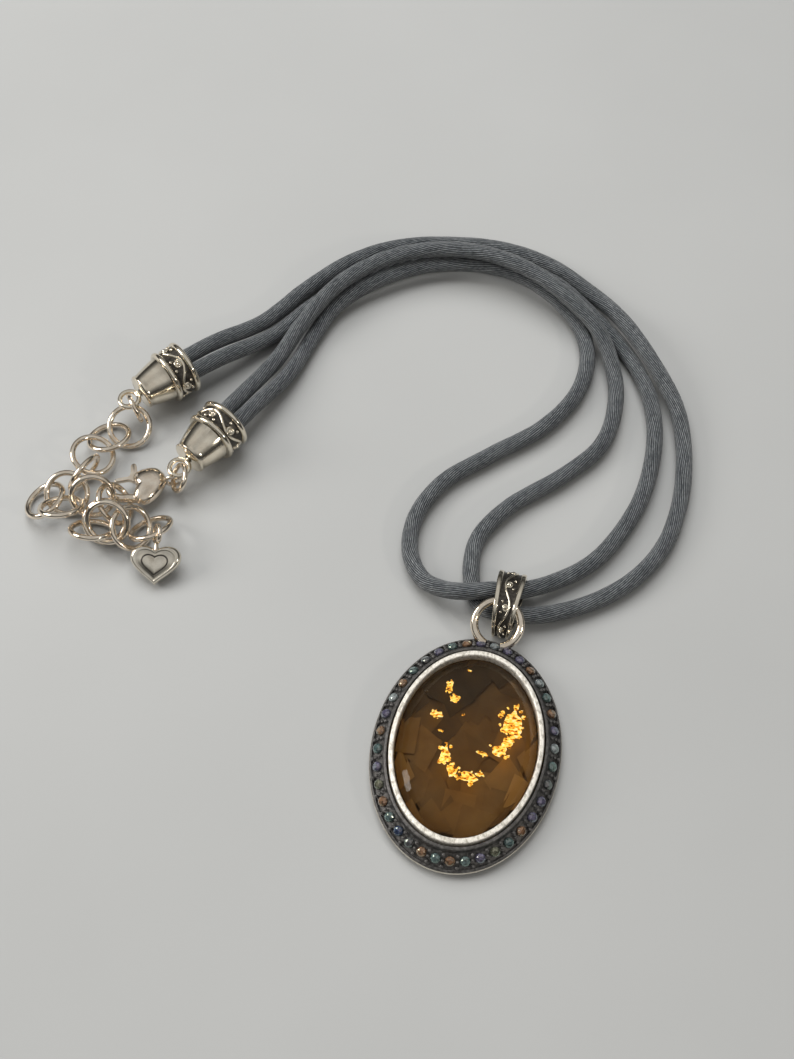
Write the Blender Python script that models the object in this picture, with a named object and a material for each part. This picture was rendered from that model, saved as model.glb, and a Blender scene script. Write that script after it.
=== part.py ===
"""Pendant necklace: an oval stone pendant on two satin cords, with end caps, clasp and extender chain.

The origin is the centre of the pendant's flat back. +Z points up from the surface the necklace
lies on, +Y towards the bail and the middle of the cords. Lengths are in metres.
"""

import math

import bmesh
import bpy
import numpy as np
from mathutils import Matrix, Vector

MM = 0.001
GAP = 0.3 * MM  # between pieces that touch
CORD_DIAMETER = 3.0 * MM

# The pendant leans: its long axis points this far from +Y towards +X.
LEAN = math.radians(11.9)
LONG_AXIS = Vector((math.sin(LEAN), math.cos(LEAN), 0.0))
SHORT_AXIS = Vector((math.cos(LEAN), -math.sin(LEAN), 0.0))
BEZEL_LONG = 17.0 * MM  # outer semi-axes of the bezel
BEZEL_SHORT = 12.5 * MM
BAND_RATIO = 0.82  # a band is this much narrower at the sides than at the ends
STONE_LONG = 15.8 * MM
STONE_SHORT = 11.5 * MM
STONE_FACETS = 24
PAVE_STONES = 38

# The ring that joins the halo to the bail rises away from the pendant.
RING_HEADING = Vector((0.252, 0.968, 0.0)).normalized()
RING_TILT = math.radians(26.3)
RING_CENTRE = Vector((0.00575, 0.0221, 0.00405))
RING_RADIUS = 3.95 * MM
RING_WIRE = 0.65 * MM

# The bail is a band bent into a loop, drawn in the upright plane of its heading.
BAIL_START = Vector((0.0062, 0.0207, 0.0))
BAIL_HEADING = Vector((0.232, 0.973, 0.0)).normalized()
BAIL_SLIDE_AXIS = Vector((1.0, 0.1, 0.0)).normalized()
BAIL_SLIDE = (-0.8, 0.8)  # millimetres either way along the cords
PENDANT_SWING = 27
BAIL_NEAR_WIDTH = 3.4 * MM
BAIL_FAR_WIDTH = 4.8 * MM
BAIL_INSIDE = (  # distance along the heading and height of the band's inner face
    (0.80, 1.30), (0.95, 3.00), (1.90, 5.10), (3.40, 6.50), (4.90, 6.82), (6.70, 6.74),
    (8.80, 6.15), (10.35, 4.85), (11.15, 3.10), (11.25, 1.60), (10.60, 0.80), (7.50, 0.78),
    (4.00, 0.78), (1.50, 0.80),
)
BAIL_SECTION = (  # across the band as a share of half its width, and outwards from the inner face
    (-1.0, 0.0), (1.0, 0.0), (1.0, 0.72), (0.72, 0.72), (0.62, 0.48), (-0.62, 0.48),
    (-0.72, 0.72), (-1.0, 0.72),
)

# Each end cap lies level. Its mouth takes two cord ends and its small end holds an eye.
CAP_HEIGHT = 5.05 * MM
CORD_DEPTH = 5.5 * MM  # how far the cord ends reach inside the mouth
CAPS = {  # small end, heading from the small end to the mouth, length
    "a": (Vector((-0.05837, 0.06894, CAP_HEIGHT)), Vector((0.7957, 0.6057, 0.0)), 10.2 * MM),
    "b": (Vector((-0.04862, 0.05458, CAP_HEIGHT)), Vector((0.6250, 0.7806, 0.0)), 10.5 * MM),
}
EYE_RADIUS = 1.75 * MM
EYE_WIRE = 0.45 * MM
EYE_OFFSET = 2.4 * MM  # from the cap's small end out to the eye's centre

LINK_RADIUS = 3.675 * MM
LINK_WIRE = 0.525 * MM
SMALL_WIRE = 0.45 * MM
CHAIN = (  # name, parent, centre, axis, mean radius, wire radius, upward swing in degrees
    ("connector_ring", "eye_a", (-0.05919, 0.06585, 0.00455), (0.886, 0.444, 0.129),
     2.5 * MM, SMALL_WIRE, 5),
    ("link_01", "connector_ring", (-0.06031, 0.06341, 0.00227), (0.001, -0.435, 0.900),
     LINK_RADIUS, LINK_WIRE, 3.5),
    ("link_02", "link_01", (-0.06392, 0.06128, 0.00190), (-0.168, 0.327, 0.930),
     LINK_RADIUS, LINK_WIRE, 8),
    ("link_03", "link_02", (-0.06635, 0.05694, 0.00261), (0.330, -0.078, 0.941),
     LINK_RADIUS, LINK_WIRE, 12),
    ("link_04", "link_03", (-0.06721, 0.05215, 0.00413), (-0.801, 0.553, 0.229),
     LINK_RADIUS, LINK_WIRE, 22),
    ("clasp_ring", "eye_b", (-0.05012, 0.05101, 0.00433), (-0.825, -0.142, 0.547),
     2.35 * MM, SMALL_WIRE, 8),
    ("link_09", "clasp", (-0.06130, 0.04622, 0.00333), (0.754, 0.012, 0.657),
     LINK_RADIUS, LINK_WIRE, 12),
    ("link_08", "link_09", (-0.06513, 0.04696, 0.00477), (0.105, -0.807, 0.581),
     LINK_RADIUS, LINK_WIRE, 7),
    ("link_07", "link_08", (-0.07048, 0.04497, 0.00447), (-0.057, 0.558, 0.828),
     LINK_RADIUS, LINK_WIRE, 11),
    ("link_06", "link_07", (-0.07405, 0.04761, 0.00229), (-0.433, 0.188, 0.882),
     LINK_RADIUS, LINK_WIRE, 10),
    ("link_05", "link_06", (-0.07022, 0.04890, 0.00253), (-0.061, -0.538, 0.841),
     LINK_RADIUS, LINK_WIRE, 7),
    ("link_10", "link_09", (-0.06283, 0.04293, 0.00280), (0.086, 0.554, -0.828),
     LINK_RADIUS, LINK_WIRE, 4),
    ("link_11", "link_10", (-0.06503, 0.04124, 0.00276), (-0.082, -0.600, -0.796),
     LINK_RADIUS, LINK_WIRE, 4),
    ("link_12", "link_11", (-0.06200, 0.04161, 0.00478), (-0.141, -0.741, 0.657),
     LINK_RADIUS, LINK_WIRE, 5.5),
    ("link_13", "link_12", (-0.05805, 0.04138, 0.00327), (-0.597, 0.322, -0.734),
     LINK_RADIUS, LINK_WIRE, 12),
    ("link_14", "link_13", (-0.05467, 0.04150, 0.00278), (-0.293, 0.535, 0.792),
     LINK_RADIUS, LINK_WIRE, 5),
)

# The clasp lies level. Its outlines are seen from above, in millimetres.
CLASP_HEIGHT = 2.6 * MM
CLASP_PIVOT = Vector((-0.0578, 0.0518, CLASP_HEIGHT))
CLASP_BODY_OUTLINE = (
    (-52.75, 50.4), (-52.70, 51.7), (-53.2, 53.0), (-54.6, 54.0), (-56.4, 53.9), (-57.9, 53.2),
    (-58.6, 52.2), (-58.5, 51.0), (-58.0, 50.0), (-58.3, 48.9), (-58.2, 47.4), (-57.0, 46.6),
    (-55.6, 46.7), (-53.9, 48.3),
)
HOOK_PATH = (  # x, y, wire radius
    (-57.4, 47.7, 0.80), (-59.0, 47.85, 0.80), (-60.3, 47.75, 0.80), (-61.3, 47.95, 0.78),
    (-62.2, 48.55, 0.74), (-62.65, 49.4, 0.68), (-62.7, 50.4, 0.58),
)
HOOK_BEND = (Vector((-0.0606, 0.0494, CLASP_HEIGHT)), (0, 0, 1), 1.6 * MM)  # centre, axis, radius
LEVER_OUTLINE = (
    (-61.75, 51.05), (-61.75, 51.6), (-60.4, 51.95), (-59.35, 52.25), (-59.15, 53.4),
    (-59.2, 54.5), (-58.7, 54.95), (-58.2, 54.5), (-58.0, 53.3), (-57.4, 52.8), (-56.85, 52.3),
    (-56.8, 51.6), (-57.2, 51.0), (-58.2, 50.95), (-59.4, 51.4), (-60.6, 51.2),
)
SPRING_PATH = ((-56.2, 51.3), (-55.3, 51.2), (-54.75, 51.75), (-55.2, 52.4), (-56.2, 52.3))
CLASP_MIDDLE = Vector((-0.056, 0.050, CLASP_HEIGHT))
CLASP_SWING = 8
LEVER_TURN = 10
CLASP_LOOP_CENTRE = Vector((-0.05151, 0.05152, 0.00248))
CLASP_LOOP_AXIS = Vector((0.02, 1.0, 0.0)).normalized()
CLASP_LOOP_RADIUS = 1.25 * MM
CLASP_LOOP_WIRE = 0.40 * MM

# The charm leans on the last link: its eye is high and its point is low.
CHARM_EYE = Vector((-0.05309, 0.03916, 0.00494))
CHARM_HEADING = math.radians(-93.3)
CHARM_TILT = math.radians(28.0)
CHARM_EYE_ROLL = math.radians(-60.5)
CHARM_EYE_RADIUS = 1.45 * MM
CHARM_EYE_WIRE = 0.42 * MM
CHARM_REACH = 5.3 * MM  # from the eye's centre to the middle of the heart
CHARM_WIDTH = 9.0 * MM
CHARM_LENGTH = 7.0 * MM
CHARM_SWING = 25

# The routes of the two cords, from the lower side of one end cap to the other.
ROUTE_1 = (
    (-0.05360, 0.07046, 0.00505), (-0.04435, 0.07738, 0.00420), (-0.03497, 0.08414, 0.00200),
    (-0.02696, 0.09216, 0.00156), (-0.01776, 0.09888, 0.00153), (-0.00848, 0.10277, 0.00153),
    (0.00150, 0.10356, 0.00153), (0.01085, 0.10181, 0.00156), (0.01914, 0.09705, 0.00190),
    (0.02525, 0.09029, 0.00176), (0.03117, 0.08209, 0.00154), (0.03518, 0.07258, 0.00153),
    (0.03604, 0.06320, 0.00153), (0.03396, 0.05240, 0.00153), (0.02967, 0.04335, 0.00154),
    (0.02316, 0.03553, 0.00157), (0.01573, 0.03108, 0.00211), (0.00901, 0.02872, 0.00330),
    (0.00499, 0.02833, 0.00452), (0.00146, 0.02791, 0.00492), (-0.00260, 0.02882, 0.00360),
    (-0.00666, 0.03164, 0.00210), (-0.00898, 0.03733, 0.00157), (-0.00789, 0.04469, 0.00156),
    (-0.00297, 0.05175, 0.00158), (0.00546, 0.05743, 0.00153), (0.01564, 0.06374, 0.00153),
    (0.02193, 0.07078, 0.00154), (0.02458, 0.07849, 0.00170), (0.02357, 0.08620, 0.00178),
    (0.01870, 0.09298, 0.00292), (0.01199, 0.09812, 0.00324), (0.00336, 0.10052, 0.00326),
    (-0.00605, 0.10021, 0.00306), (-0.01492, 0.09691, 0.00299), (-0.02294, 0.09111, 0.00226),
    (-0.02699, 0.08480, 0.00153), (-0.03133, 0.07556, 0.00206), (-0.03769, 0.06624, 0.00423),
    (-0.04420, 0.05742, 0.00505),
)
ROUTE_2 = (
    (-0.05563, 0.07314, 0.00505), (-0.04607, 0.08068, 0.00426), (-0.03675, 0.08738, 0.00219),
    (-0.02885, 0.09567, 0.00165), (-0.02020, 0.10260, 0.00159), (-0.01116, 0.10620, 0.00161),
    (-0.00001, 0.10698, 0.00153), (0.01048, 0.10549, 0.00153), (0.01928, 0.10113, 0.00156),
    (0.02615, 0.09466, 0.00173), (0.03116, 0.08675, 0.00395), (0.03622, 0.07714, 0.00383),
    (0.04033, 0.06732, 0.00224), (0.04092, 0.05786, 0.00160), (0.03895, 0.04629, 0.00154),
    (0.03490, 0.03739, 0.00153), (0.02814, 0.03064, 0.00154), (0.01961, 0.02638, 0.00164),
    (0.01214, 0.02446, 0.00257), (0.00722, 0.02469, 0.00292), (0.00394, 0.02604, 0.00212),
    (0.00221, 0.02887, 0.00154), (0.00160, 0.03325, 0.00155), (0.00287, 0.03981, 0.00156),
    (0.00808, 0.04610, 0.00156), (0.01936, 0.05366, 0.00153), (0.02597, 0.05974, 0.00153),
    (0.02909, 0.06803, 0.00156), (0.02919, 0.07676, 0.00193), (0.02663, 0.08408, 0.00411),
    (0.02061, 0.09097, 0.00602), (0.01240, 0.09754, 0.00657), (0.00346, 0.10104, 0.00658),
    (-0.00609, 0.10165, 0.00612), (-0.01523, 0.09901, 0.00571), (-0.02295, 0.09339, 0.00542),
    (-0.02921, 0.08544, 0.00410), (-0.03382, 0.07818, 0.00263), (-0.03980, 0.06911, 0.00426),
    (-0.04682, 0.05952, 0.00505),
)


def material(name, colour, roughness, metallic):
    made = bpy.data.materials.new(name)
    made.use_nodes = True
    shader = made.node_tree.nodes["Principled BSDF"]
    shader.inputs["Base Color"].default_value = (*colour, 1.0)
    shader.inputs["Roughness"].default_value = roughness
    shader.inputs["Metallic"].default_value = metallic
    made.diffuse_color = (*colour, 1.0)
    return made


def smooth_route(points, steps):
    """Points of a centripetal Catmull-Rom curve through the given points."""
    inner = np.asarray(points, float)
    padded = np.vstack([2 * inner[0] - inner[1], inner, 2 * inner[-1] - inner[-2]])
    curve = []
    for start in range(len(inner) - 1):
        p0, p1, p2, p3 = padded[start:start + 4]
        t1 = np.linalg.norm(p1 - p0) ** 0.5
        t2 = t1 + np.linalg.norm(p2 - p1) ** 0.5
        t3 = t2 + np.linalg.norm(p3 - p2) ** 0.5
        for t in np.linspace(t1, t2, steps, endpoint=False):
            a1 = (t1 - t) / t1 * p0 + t / t1 * p1
            a2 = (t2 - t) / (t2 - t1) * p1 + (t - t1) / (t2 - t1) * p2
            a3 = (t3 - t) / (t3 - t2) * p2 + (t - t2) / (t3 - t2) * p3
            b1 = (t2 - t) / t2 * a1 + t / t2 * a2
            b2 = (t3 - t) / (t3 - t1) * a2 + (t - t1) / (t3 - t1) * a3
            curve.append((t2 - t) / (t2 - t1) * b1 + (t - t1) / (t2 - t1) * b2)
    curve.append(inner[-1])
    return np.array(curve)


def thinned(curve, tolerance, longest):
    """The fewest of the curve's points whose straight runs stay within tolerance of it."""
    kept = [0]
    while kept[-1] < len(curve) - 1:
        here = kept[-1]
        best = here + 1
        for end in range(here + 2, len(curve)):
            chord = curve[end] - curve[here]
            length = np.linalg.norm(chord)
            if length > longest:
                break
            between = curve[here + 1:end] - curve[here]
            along = np.clip(between @ chord / length**2, 0, 1)
            off = np.linalg.norm(between - along[:, None] * chord, axis=1).max()
            if off <= tolerance:
                best = end
        kept.append(best)
    return curve[kept]


def closed_smooth(points, count):
    """The given corners of a closed outline, rounded into count even steps of a smooth curve."""
    corners = np.asarray(points, float)
    around = np.vstack([corners[-1:], corners, corners[:2]])
    steps = 16
    curve = []
    for start in range(len(corners)):
        p0, p1, p2, p3 = around[start:start + 4]
        for t in np.arange(steps) / steps:
            curve.append(0.5 * (2 * p1 + (p2 - p0) * t + (2 * p0 - 5 * p1 + 4 * p2 - p3) * t**2
                                + (3 * p1 - p0 - 3 * p2 + p3) * t**3))
    curve = np.array(curve + curve[:1])
    length = np.concatenate([[0], np.cumsum(np.linalg.norm(np.diff(curve, axis=0), axis=1))])
    wanted = np.linspace(0, length[-1], count, endpoint=False)
    return np.stack([np.interp(wanted, length, curve[:, axis]) for axis in range(curve.shape[1])], axis=1)


def skin(name, rows, look, wrapped=False, sharp=40):
    """One closed body whose skin runs over rows of points, each row a closed loop."""
    bm = bmesh.new()
    loops = [[bm.verts.new(point) for point in row] for row in rows]
    pairs = list(zip(loops, loops[1:]))
    if wrapped:
        pairs.append((loops[-1], loops[0]))
    else:
        bm.faces.new(loops[0])
        bm.faces.new(loops[-1])
    for low, high in pairs:
        for index in range(len(low)):
            after = (index + 1) % len(low)
            bm.faces.new((low[index], low[after], high[after], high[index]))
    return finished(name, bm, look, sharp)


def finished(name, bm, look, sharp):
    bmesh.ops.recalc_face_normals(bm, faces=bm.faces)
    mesh = bpy.data.meshes.new(name)
    bm.to_mesh(mesh)
    bm.free()
    mesh.shade_smooth()
    mesh.set_sharp_from_angle(angle=math.radians(sharp))
    mesh.materials.append(look)
    made = bpy.data.objects.new(name, mesh)
    bpy.context.scene.collection.objects.link(made)
    return made


def across(axis):
    """Two directions at right angles to axis and to each other."""
    helper = Vector((1, 0, 0)) if abs(axis.x) < 0.8 else Vector((0, 1, 0))
    first = axis.cross(helper).normalized()
    return first, axis.cross(first)


def circle(centre, axis, radius, count):
    first, second = across(axis)
    turns = [2 * math.pi * step / count for step in range(count)]
    return [centre + radius * (math.cos(turn) * first + math.sin(turn) * second) for turn in turns]


def torus(name, centre, axis, radius, wire, look, around=20, sides=6):
    """A wire ring."""
    axis = Vector(axis).normalized()
    rows = []
    for point in circle(Vector(centre), axis, radius, around):
        outward = (point - Vector(centre)).normalized()
        turns = [2 * math.pi * (step + 0.5) / sides for step in range(sides)]
        rows.append([point + wire * (math.cos(t) * outward + math.sin(t) * axis) for t in turns])
    return skin(name, rows, look, wrapped=True, sharp=80)


def rod(name, path, radii, look, sides=10):
    """A round bar along a path, with its own radius at each point."""
    points = [Vector(point) for point in path]
    rows = []
    side = None
    for index, point in enumerate(points):
        ahead = points[min(index + 1, len(points) - 1)] - points[max(index - 1, 0)]
        ahead.normalize()
        side = across(ahead)[0] if side is None else (side - side.dot(ahead) * ahead).normalized()
        other = ahead.cross(side)
        turns = [2 * math.pi * step / sides for step in range(sides)]
        rows.append([point + radii[index] * (math.cos(t) * side + math.sin(t) * other) for t in turns])
    return skin(name, rows, look, sharp=60)


def turned(name, start, heading, profile, look, sides=24, hollow=True):
    """A turned piece. The profile is (distance along the heading, radius), in millimetres."""
    rows = [circle(start + along * MM * heading, heading, radius * MM, sides) for along, radius in profile]
    return skin(name, rows, look, wrapped=hollow, sharp=35)


def oval(rho, height, count, turn_from=0.0, turn_to=2 * math.pi):
    """Points of the pendant's oval that reaches rho (millimetres) along the long axis."""
    long_half = rho * MM
    short_half = BEZEL_SHORT + (long_half - BEZEL_LONG) * BAND_RATIO
    steps = [turn_from + (turn_to - turn_from) * step / count for step in range(count)]
    return [short_half * math.cos(t) * SHORT_AXIS + long_half * math.sin(t) * LONG_AXIS
            + Vector((0, 0, height * MM)) for t in steps]


def oval_band(name, profile, look, wrapped=True, count=48):
    return skin(name, [oval(rho, height, count) for rho, height in profile], look, wrapped, sharp=35)


def cut_or_join(target, tool, operation):
    """Cuts the tool from the target, or joins it on."""
    modifier = target.modifiers.new(operation.title(), "BOOLEAN")
    modifier.operation = operation
    modifier.solver = "EXACT"
    modifier.object = tool
    tool.hide_render = True
    tool.display_type = "WIRE"
    return tool


def nearest_wire(parent, child):
    """The point of the parent ring's wire that the child ring touches."""
    samples = 360
    child_points = np.array(circle(Vector(child[0]), Vector(child[1]).normalized(), child[2], samples))
    wire_points = circle(Vector(parent[0]), Vector(parent[1]).normalized(), parent[2], samples)
    return min(wire_points, key=lambda point: np.linalg.norm(child_points - np.array(point), axis=1).min())


def make_pendant(looks):
    case = skin(
        "pendant_case",
        [oval(rho, height, 48) for rho, height in (
            (20.4, 0.0), (20.6, 0.2), (20.4, 0.5), (18.2, 0.5), (18.2, 2.5), (17.35, 2.5), (17.35, 0.8))],
        looks["silver"], sharp=35)
    halo = oval_band("halo_band", (
        (17.35, 2.85), (17.35, 4.40), (17.90, 4.25), (18.00, 3.30), (20.10, 1.35), (20.35, 1.85),
        (20.80, 1.30), (20.80, 0.80), (18.55, 0.80), (18.55, 2.85)), looks["oxidised"])
    bezel = oval_band("bezel_ring", (
        (17.00, 1.10), (17.00, 4.50), (16.85, 4.85), (16.30, 4.90), (16.10, 4.60), (16.10, 1.10)),
        looks["silver"])
    stone = make_stone(looks["amber"])
    pave = make_pave(looks["pave"])
    ring = torus("pendant_ring", RING_CENTRE, ring_axis(), RING_RADIUS, RING_WIRE, looks["silver"], 28, 6)
    channel = torus("ring_channel", RING_CENTRE, ring_axis(), RING_RADIUS, RING_WIRE + GAP, looks["silver"], 28, 6)
    cut_or_join(halo, channel, "DIFFERENCE")
    return [case, halo, bezel, stone, pave, ring, channel]


def ring_axis():
    """The axis of the pendant's ring, square to the way the ring rises."""
    rise = math.cos(RING_TILT) * RING_HEADING + math.sin(RING_TILT) * Vector((0, 0, 1))
    level = Vector((0, 0, 1)).cross(RING_HEADING)
    return rise.cross(level)


def make_stone(look):
    """A domed stone with rows of facets that are set half a step apart."""
    rows = ((14.6, 1.15), (15.5, 2.10), (15.8, 3.10), (15.3, 4.10), (13.6, 4.95), (10.9, 5.60), (7.4, 6.05),
            (3.6, 6.30))
    bm = bmesh.new()
    loops = []
    for row, (reach, height) in enumerate(rows):
        shift = 0.5 * (row % 2)
        loop = []
        for step in range(STONE_FACETS):
            turn = 2 * math.pi * (step + shift) / STONE_FACETS
            flat = (reach / 15.8) * (STONE_SHORT * math.cos(turn) * SHORT_AXIS
                                     + STONE_LONG * math.sin(turn) * LONG_AXIS)
            loop.append(bm.verts.new(flat + Vector((0, 0, height * MM))))
        loops.append(loop)
    bm.faces.new(loops[0])
    bm.faces.new(loops[-1])
    for row, (low, high) in enumerate(zip(loops, loops[1:])):
        for step in range(STONE_FACETS):
            after = (step + 1) % STONE_FACETS
            if row % 2 == 0:
                bm.faces.new((low[step], low[after], high[step]))
                bm.faces.new((low[after], high[after], high[step]))
            else:
                bm.faces.new((low[step], low[after], high[after]))
                bm.faces.new((low[step], high[after], high[step]))
    return finished("centre_stone", bm, look, 1)


def make_pave(look):
    """The small stones of the halo, joined side by side in its groove and stopped at the pendant's ring."""
    opening = math.radians(14)
    middle = math.pi / 2 - math.radians(3.0)  # where the ring crosses, on the oval's own angle
    steps = PAVE_STONES * 2
    rows = []
    for step in range(steps + 1):
        turn = middle + opening + (2 * math.pi - 2 * opening) * step / steps
        height = 0.95 if step % 2 else 0.50
        section = ((18.40, 3.34), (18.40 + 0.66 * height * 0.8, 3.34 + 0.75 * height),
                   (19.15 + 0.68 * height, 2.62 + 0.73 * height),
                   (19.90 + 0.70 * height * 0.8, 1.92 + 0.71 * height), (19.90, 1.92))
        rows.append([oval(rho, z, 1, turn)[0] for rho, z in section])
    return skin("pave_stones", rows, look, sharp=20)


def make_bail(look):
    """A band with raised edges, bent into a closed loop."""
    inside = closed_smooth(BAIL_INSIDE, 36) * MM
    across_band = Vector((0, 0, 1)).cross(BAIL_HEADING)
    middle = inside.mean(axis=0)
    rows = []
    for index, (along, height) in enumerate(inside):
        ahead = inside[(index + 1) % len(inside)] - inside[index - 1]
        normal = np.array((ahead[1], -ahead[0])) / np.linalg.norm(ahead)
        if normal @ (inside[index] - middle) < 0:
            normal = -normal
        share = min(1.0, max(0.0, along / (8.0 * MM)))
        half = float(BAIL_NEAR_WIDTH + (BAIL_FAR_WIDTH - BAIL_NEAR_WIDTH) * share) / 2
        row = []
        for side, out in BAIL_SECTION:
            reach = float(along + normal[0] * out * MM)
            lift = float(height + normal[1] * out * MM)
            row.append(BAIL_START + reach * BAIL_HEADING + side * half * across_band + Vector((0, 0, lift)))
        rows.append(row)
    return skin("bail", rows, look, wrapped=True, sharp=35)


def make_cap(letter, looks):
    """An end cap with its eye and the glue that fills it behind the cords."""
    start, heading, length = CAPS[letter]
    mouth = length / MM
    cap = turned(f"end_cap_{letter}", start, heading, (
        (0.0, 0.75), (0.0, 3.05), (0.30, 3.25), (0.60, 3.15), (3.0, 3.80), (mouth - 5.0, 4.25),
        (mouth - 4.9, 4.80), (mouth - 4.4, 5.03), (mouth - 3.9, 4.80), (mouth - 3.8, 4.45),
        (mouth - 1.2, 4.45), (mouth - 1.1, 4.90), (mouth - 0.55, 5.03), (mouth, 4.75), (mouth, 3.80),
        (mouth - 5.8, 3.75), (mouth - 6.0, 3.35), (1.0, 2.55), (1.0, 0.75)), looks["silver"])
    glue_end = mouth - CORD_DEPTH / MM - 1.5 * GAP / MM
    glue = turned(f"glue_plug_{letter}", start, heading, (
        (1.9, 1.6), (1.95, 2.35), (glue_end, 2.90)), looks["glue"], 20, hollow=False)
    eye = torus(f"eye_{letter}", start - EYE_OFFSET * heading, (0, 0, 1), EYE_RADIUS, EYE_WIRE,
                looks["silver"], 20, 6)
    stem = rod(f"eye_{letter}_stem", (start - (EYE_OFFSET - EYE_RADIUS) * heading, start + 1.6 * MM * heading),
               (0.9 * EYE_WIRE, 0.9 * EYE_WIRE), looks["silver"], 8)
    cut_or_join(eye, stem, "UNION")
    return [cap, glue, eye, stem]


def make_cord(name, route, look):
    """A round cord along its route."""
    curve = bpy.data.curves.new(name, "CURVE")
    curve.dimensions = "3D"
    curve.bevel_depth = CORD_DIAMETER / 2
    curve.bevel_resolution = 2
    curve.use_fill_caps = True
    curve.resolution_u = 1
    points = thinned(smooth_route(route, 24), 0.09 * MM, 9 * MM)
    spline = curve.splines.new("POLY")
    spline.points.add(len(points) - 1)
    for spot, point in zip(spline.points, points):
        spot.co = (*point, 1.0)
    curve.materials.append(look)
    made = bpy.data.objects.new(name, curve)
    bpy.context.scene.collection.objects.link(made)
    return made


def flat_outline(outline, height, count):
    """A closed outline seen from above, in millimetres, as points at a height in metres."""
    return [Vector((x * MM, y * MM, height)) for x, y in closed_smooth(outline, count)]


def plate(name, outline, levels, look, count=28):
    """A flat piece from its outline. Each level is (height above the clasp's middle, share of full size)."""
    base = flat_outline(outline, 0.0, count)
    middle = sum(base, Vector()) / count
    rows = []
    for level, share in levels:
        rows.append([middle + (point - middle) * share + Vector((0, 0, CLASP_HEIGHT + level * MM))
                     for point in base])
    return skin(name, rows, look, sharp=30)


def block(name, low, high, look):
    """A box between two corners in millimetres."""
    corners = ((low[0], low[1]), (high[0], low[1]), (high[0], high[1]), (low[0], high[1]))
    rows = [[Vector((x * MM, y * MM, z * MM)) for x, y in corners] for z in (low[2], high[2])]
    return skin(name, rows, look)


def make_clasp(looks):
    silver = looks["silver"]
    body = plate("clasp_body", CLASP_BODY_OUTLINE, (
        (-1.45, 0.70), (-1.15, 0.90), (-0.5, 1.0), (0.5, 1.0), (1.15, 0.90), (1.45, 0.70)), silver)
    hook = rod("clasp_hook", [(x * MM, y * MM, CLASP_HEIGHT) for x, y, _ in HOOK_PATH],
               [radius * MM for _, _, radius in HOOK_PATH], silver)
    tail = torus("clasp_tail", CLASP_LOOP_CENTRE, CLASP_LOOP_AXIS, CLASP_LOOP_RADIUS, CLASP_LOOP_WIRE,
                 silver, 16, 6)
    middle = CLASP_HEIGHT / MM
    slot = block("lever_slot", (-60.5, 50.2, middle - 0.75), (-56.5, 56.0, middle + 0.75), silver)
    pocket = block("spring_pocket", (-57.5, 50.75, middle - 0.6), (-54.3, 52.85, middle + 0.6), silver)
    pivot = CLASP_PIVOT
    up = Vector((0, 0, 1))
    hole = turned("pin_hole", pivot - 2.0 * MM * up, up, ((0.0, 0.45), (4.0, 0.45)), silver, 16, hollow=False)
    cut_or_join(body, hook, "UNION")
    cut_or_join(body, tail, "UNION")
    for tool in (slot, pocket, hole):
        cut_or_join(body, tool, "DIFFERENCE")
    pin = turned("clasp_pin", pivot - 1.3 * MM * up, up, ((0.0, 0.28), (0.1, 0.35), (2.5, 0.35), (2.6, 0.28)),
                 silver, 16, hollow=False)
    lever = plate("clasp_lever", LEVER_OUTLINE, ((-0.45, 0.97), (-0.3, 1.0), (0.3, 1.0), (0.45, 0.97)), silver, 32)
    cut_or_join(lever, hole, "DIFFERENCE")
    spring_path = [Vector((x * MM, y * MM, CLASP_HEIGHT)) for x, y in SPRING_PATH]
    spring = rod("clasp_spring", spring_path, [0.16 * MM] * len(spring_path), looks["steel"], 6)
    return [body, hook, tail, slot, pocket, hole, pin, spring], [lever]


def heart(share, lift, centre, along, sideways, up, count=28):
    """One level of the heart: its outline at a share of full size, lifted along its own normal."""
    row = []
    for step in range(count):
        t = 2 * math.pi * (step + 0.5) / count
        wide = 16 * math.sin(t) ** 3 / 32
        tall = (13 * math.cos(t) - 5 * math.cos(2 * t) - 2 * math.cos(3 * t) - math.cos(4 * t) + 2.5) / 29
        row.append(centre + share * (wide * CHARM_WIDTH * sideways - tall * CHARM_LENGTH * along)
                   + lift * MM * up)
    return row


def make_charm(look):
    """A puffed heart with its own eye."""
    level = Vector((math.cos(CHARM_HEADING), math.sin(CHARM_HEADING), 0))
    sideways = Vector((-level.y, level.x, 0))
    along = level * math.cos(CHARM_TILT) - Vector((0, 0, math.sin(CHARM_TILT)))
    up = along.cross(sideways)
    centre = CHARM_EYE + CHARM_REACH * along
    levels = ((0.55, -1.35), (0.82, -1.1), (0.97, -0.45), (1.0, 0.0), (0.97, 0.45), (0.82, 1.1), (0.55, 1.4))
    body = skin("heart_charm", [heart(*level_, centre, along, sideways, up) for level_ in levels], look, sharp=30)
    eye_axis = up * math.cos(CHARM_EYE_ROLL) + sideways * math.sin(CHARM_EYE_ROLL)
    eye = torus("charm_eye", CHARM_EYE, eye_axis, CHARM_EYE_RADIUS, CHARM_EYE_WIRE, look, 16, 6)
    stem = rod("charm_stem", (CHARM_EYE + 1.4 * MM * along, CHARM_EYE + 3.8 * MM * along),
               (0.36 * MM, 0.5 * MM), look, 8)
    cut_or_join(body, stem, "UNION")
    cut_or_join(body, eye, "UNION")
    return [body, eye, stem], eye_axis, centre


def joint_empty(name, parent, pivot, axis, limits):
    """An empty on a joint's axis, carried by the empty of the body that holds the joint."""
    empty = bpy.data.objects.new(f"joint_{name}", None)
    bpy.context.scene.collection.objects.link(empty)
    empty.empty_display_size = 2 * MM
    empty.parent = parent[0] if parent else None
    empty.location = pivot - (parent[1] if parent else Vector())
    empty["pivot"] = list(pivot)
    empty["axis"] = list(axis)
    empty["limits"] = list(limits)
    return empty, pivot


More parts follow.
